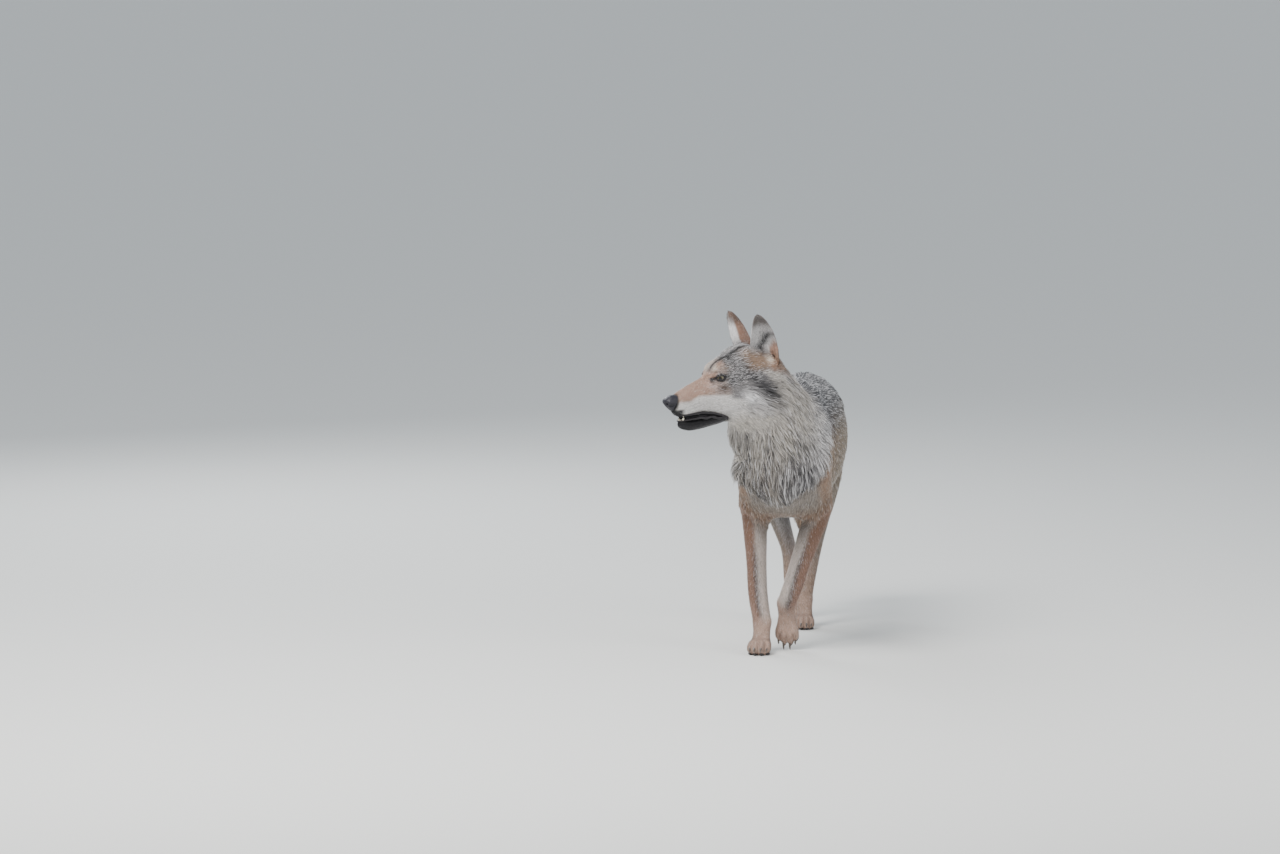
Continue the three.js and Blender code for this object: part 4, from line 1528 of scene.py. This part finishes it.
mouthShape = {
    # left, forward, up and radius along one side, from the corner of the mouth to the front
    "upperLip": [
        (31, 117, -82, 2.4),
        (32, 132, -74.5, 2.6),
        (29, 152, -68.5, 2.5),
        (25, 180, -65, 2.3),
        (21, 205, -66.5, 2.2),
        (16, 224, -68, 2.0),
        (9, 237, -67, 1.7),
        (2, 243, -66, 1.4),
    ],
    "lowerLip": [
        (31, 117, -83, 2.8),
        (29, 132, -80, 3.6),
        (25, 158, -77, 3.8),
        (19, 190, -77, 3.4),
        (14, 214, -79, 2.6),
        (8, 229, -81, 2.2),
        (0, 234, -82, 2.0),
    ],
    "stepsAlong": 150,
    "lining": ((0, 172, -74), (25, 60, 9)),
}


def makeMouth():
    tubes = []
    steps = mouthShape["stepsAlong"]
    for name in ("upperLip", "lowerLip"):
        half = np.array(mouthShape[name], float)
        other = half[::-1] * np.array((-1, 1, 1, 1))
        line = smoothPath(np.concatenate([half, other[1:] if name == "lowerLip" else other]), steps)
        if name == "lowerLip":
            line[:, 2] += 1.3 * np.sin(line[:, 1] * 0.21) * ramp(line[:, 1], 205, 180)
        ripple = 1 + 0.09 * np.sin(np.linspace(0, 150, steps) * 0.9)
        tubes.append(tube(name, toWorld(headPlace(line[:, :3])), line[:, 3] * ripple))
    lining = newSphere("lining", 40, 24)
    x, y, z = pointsOf(lining).T
    middle, half = mouthShape["lining"]
    setHeadPoints(lining, np.stack([x * (1 - 0.58 * ramp(y, -1, 1)), y, z], 1) * half + middle)
    mouth = joined("lips_and_mouth", [*tubes, lining])
    outwards(mouth)
    mouth.data.materials.clear()
    mouth.data.materials.append(lipMaterial)
    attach(mouth, "root")


# On each side: left, forward and up of a tooth's foot, its height and its radius.
toothPlaces = {
    "cutting": [(out, 233 - 0.16 * out * out, -81, 4.0, 1.5) for out in (1.6, 4.4)],
    "lowerCanine": [(9.0, 226, -80, 8.0, 2.6)],
    "upperCanine": [(13.0, 229, -63, -8.5, 2.6)],
}


def makeTooth(left, ahead, up, tall, radius):
    bpy.ops.object.select_all(action="DESELECT")
    bpy.ops.mesh.primitive_cone_add(vertices=14, radius1=1, radius2=0.12, depth=1)
    tooth = bpy.context.active_object
    editAll(tooth, bpy.ops.mesh.subdivide, number_cuts=2)
    x, y, z = pointsOf(tooth).T
    rise = z + 0.5
    full = np.sqrt(np.maximum(1 - rise**2, 0.02)) / np.maximum(1 - 0.88 * rise, 0.12)
    local = np.stack([x * radius * full, y * radius * full - 1.8 * rise**2, tall * rise], 1)
    setHeadPoints(tooth, local + np.array((left, ahead, up)))
    return tooth


def makeTeeth():
    rows = toothPlaces.values()
    places = [(side * left, *rest) for row in rows for side in (1, -1) for left, *rest in row]
    teeth = joined("teeth", [makeTooth(*place) for place in places])
    bpy.ops.object.shade_smooth()
    outwards(teeth)
    teeth.data.materials.append(toothMaterial)
    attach(teeth, "root")


def makeClaws():
    names = [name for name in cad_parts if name.startswith("claw_")]
    claws = joined("claws", [copyOfNode(name) for name in names])
    useModifier(claws, "SUBSURF", levels=2, render_levels=2)
    chooseOnly(claws)
    bpy.ops.object.shade_smooth()
    claws.data.materials.clear()
    claws.data.materials.append(clawMaterial)
    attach(claws, "root")
    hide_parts(*names)


def makePads():
    balls = []
    for name in paws:
        middle, axes, size = pawAxes(name)
        places = [(out, -ahead, *pawShape["toe"]) for out, ahead in pawShape["toes"]]
        places.append((0, pawShape["heelAhead"], *pawShape["heel"]))
        for out, back, wide, long, thick in places:
            ball = newSphere("pad", *pawShape["padSegments"])
            x, y, z = pointsOf(ball).T
            pinch = 1 - 0.3 * ramp(-y, -0.2, 1)
            local = np.stack([out + x * wide * pinch, back + y * long, thick + z * thick], 1)
            place = middle + (local * size) @ axes
            place[:, 2] = np.maximum(place[:, 2], pawShape["padOffFloor"])
            setPoints(ball, toWorld(place))
            balls.append(ball)
    pads = joined("pads", balls)
    pads.data.materials.append(padMaterial)
    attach(pads, "root")


# The eye's colours, from the middle of the pupil out to the white.
irisRings = [
    (0.0, (0.003, 0.003, 0.004)),
    (0.25, (0.003, 0.003, 0.004)),
    (0.28, (0.04, 0.032, 0.020)),
    (0.37, (0.10, 0.088, 0.056)),
    (0.52, (0.145, 0.130, 0.090)),
    (0.61, (0.06, 0.050, 0.036)),
    (0.67, (0.010, 0.008, 0.008)),
    (0.80, (0.02, 0.016, 0.015)),
    (1.0, (0.16, 0.12, 0.11)),
]


def eyeFinish():
    finish = Finish(
        "eye_wet",
        **{"Roughness": 0.2, "Specular IOR Level": 0.1, "Coat Weight": 0.4, "Coat Roughness": 0.02},
    )
    flatMap = finish.add("ShaderNodeUVMap", {"uv_map": "iris"})
    centred = finish.add("ShaderNodeVectorMath", {"operation": "SUBTRACT"}, {0: flatMap, 1: (0.5, 0.5, 0)})
    length = finish.add("ShaderNodeVectorMath", {"operation": "LENGTH"}, {0: centred}, 1)
    radius = length * eyeball["mapWidth"]
    x = finish.add("ShaderNodeSeparateXYZ", None, {"Vector": centred})
    y = Socket(finish, x.socket.node.outputs[1])
    angle = x.maths("ARCTAN2", x, y)
    spokes = finish.add("ShaderNodeCombineXYZ", None, {0: angle * 9, 1: radius * 0.35, 2: 0.0})
    rays = finish.noise(spokes)
    ring = finish.add("ShaderNodeValToRGB", {"stops": irisRings}, {0: radius * (1 / 13)})
    finish.shadeBy(ring, rays * 1.1 + 0.45)
    return finish.material


def leatherFinish(name, dark, pale, grain, roughness, bumpHeight):
    finish = Finish(name, **{"Specular IOR Level": 0.35})
    place = finish.place()
    pebbles = finish.add("ShaderNodeTexVoronoi", {"feature": "SMOOTH_F1"}, {"Vector": place, "Scale": grain})
    cloud = finish.noise(place, 130.0)
    finish.feed("Base Color", finish.mix(cloud, (*dark, 1), (*pale, 1)))
    finish.feed("Roughness", cloud * 0.2 + roughness)
    finish.raiseBy(1 - pebbles, 0.7, bumpHeight)
    return finish.material


def hornFinish(name, root, end, roughness):
    finish = Finish(name, **{"Roughness": roughness})
    grain = finish.noise(finish.stretched((1200, 260, 420)))
    finish.feed("Base Color", finish.mix(grain, (*root, 1), (*end, 1)))
    finish.raiseBy(grain, 0.3, 0.0004)
    return finish.material


eyeMaterial = eyeFinish()
noseMaterial = leatherFinish("nose_leather", (0.006, 0.006, 0.009), (0.022, 0.020, 0.030), 900, 0.3, 0.0007)
lipMaterial = leatherFinish("lip_leather", (0.006, 0.005, 0.006), (0.020, 0.016, 0.019), 500, 0.38, 0.0009)
padMaterial = leatherFinish("pad_leather", (0.020, 0.018, 0.018), (0.06, 0.05, 0.048), 1100, 0.6, 0.0006)
toothMaterial = hornFinish("tooth_ivory", (0.62, 0.54, 0.40), (0.80, 0.76, 0.66), 0.3)
clawMaterial = hornFinish("claw_horn", (0.030, 0.025, 0.022), (0.13, 0.10, 0.08), 0.4)
makeEye(1, "eyeball_left", "eye_left")
makeEye(-1, "eyeball_right", "eye_right")
makeLids()
makeNose()
makeMouth()
makeTeeth()
makeClaws()
makePads()
print("eyes, nose, mouth, claws and pads made")

coatMaterial = coatFinish()
skinMaterial = skinFinish()
skin.data.materials.clear()
skin.data.materials.append(skinMaterial)
paintSkin(skin, weights)
for piece in makeCoat(skin, weights, 1.0):
    piece.data.materials.append(coatMaterial)
    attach(piece, "root")
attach(skin, "root")
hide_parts(*fleshNodes)
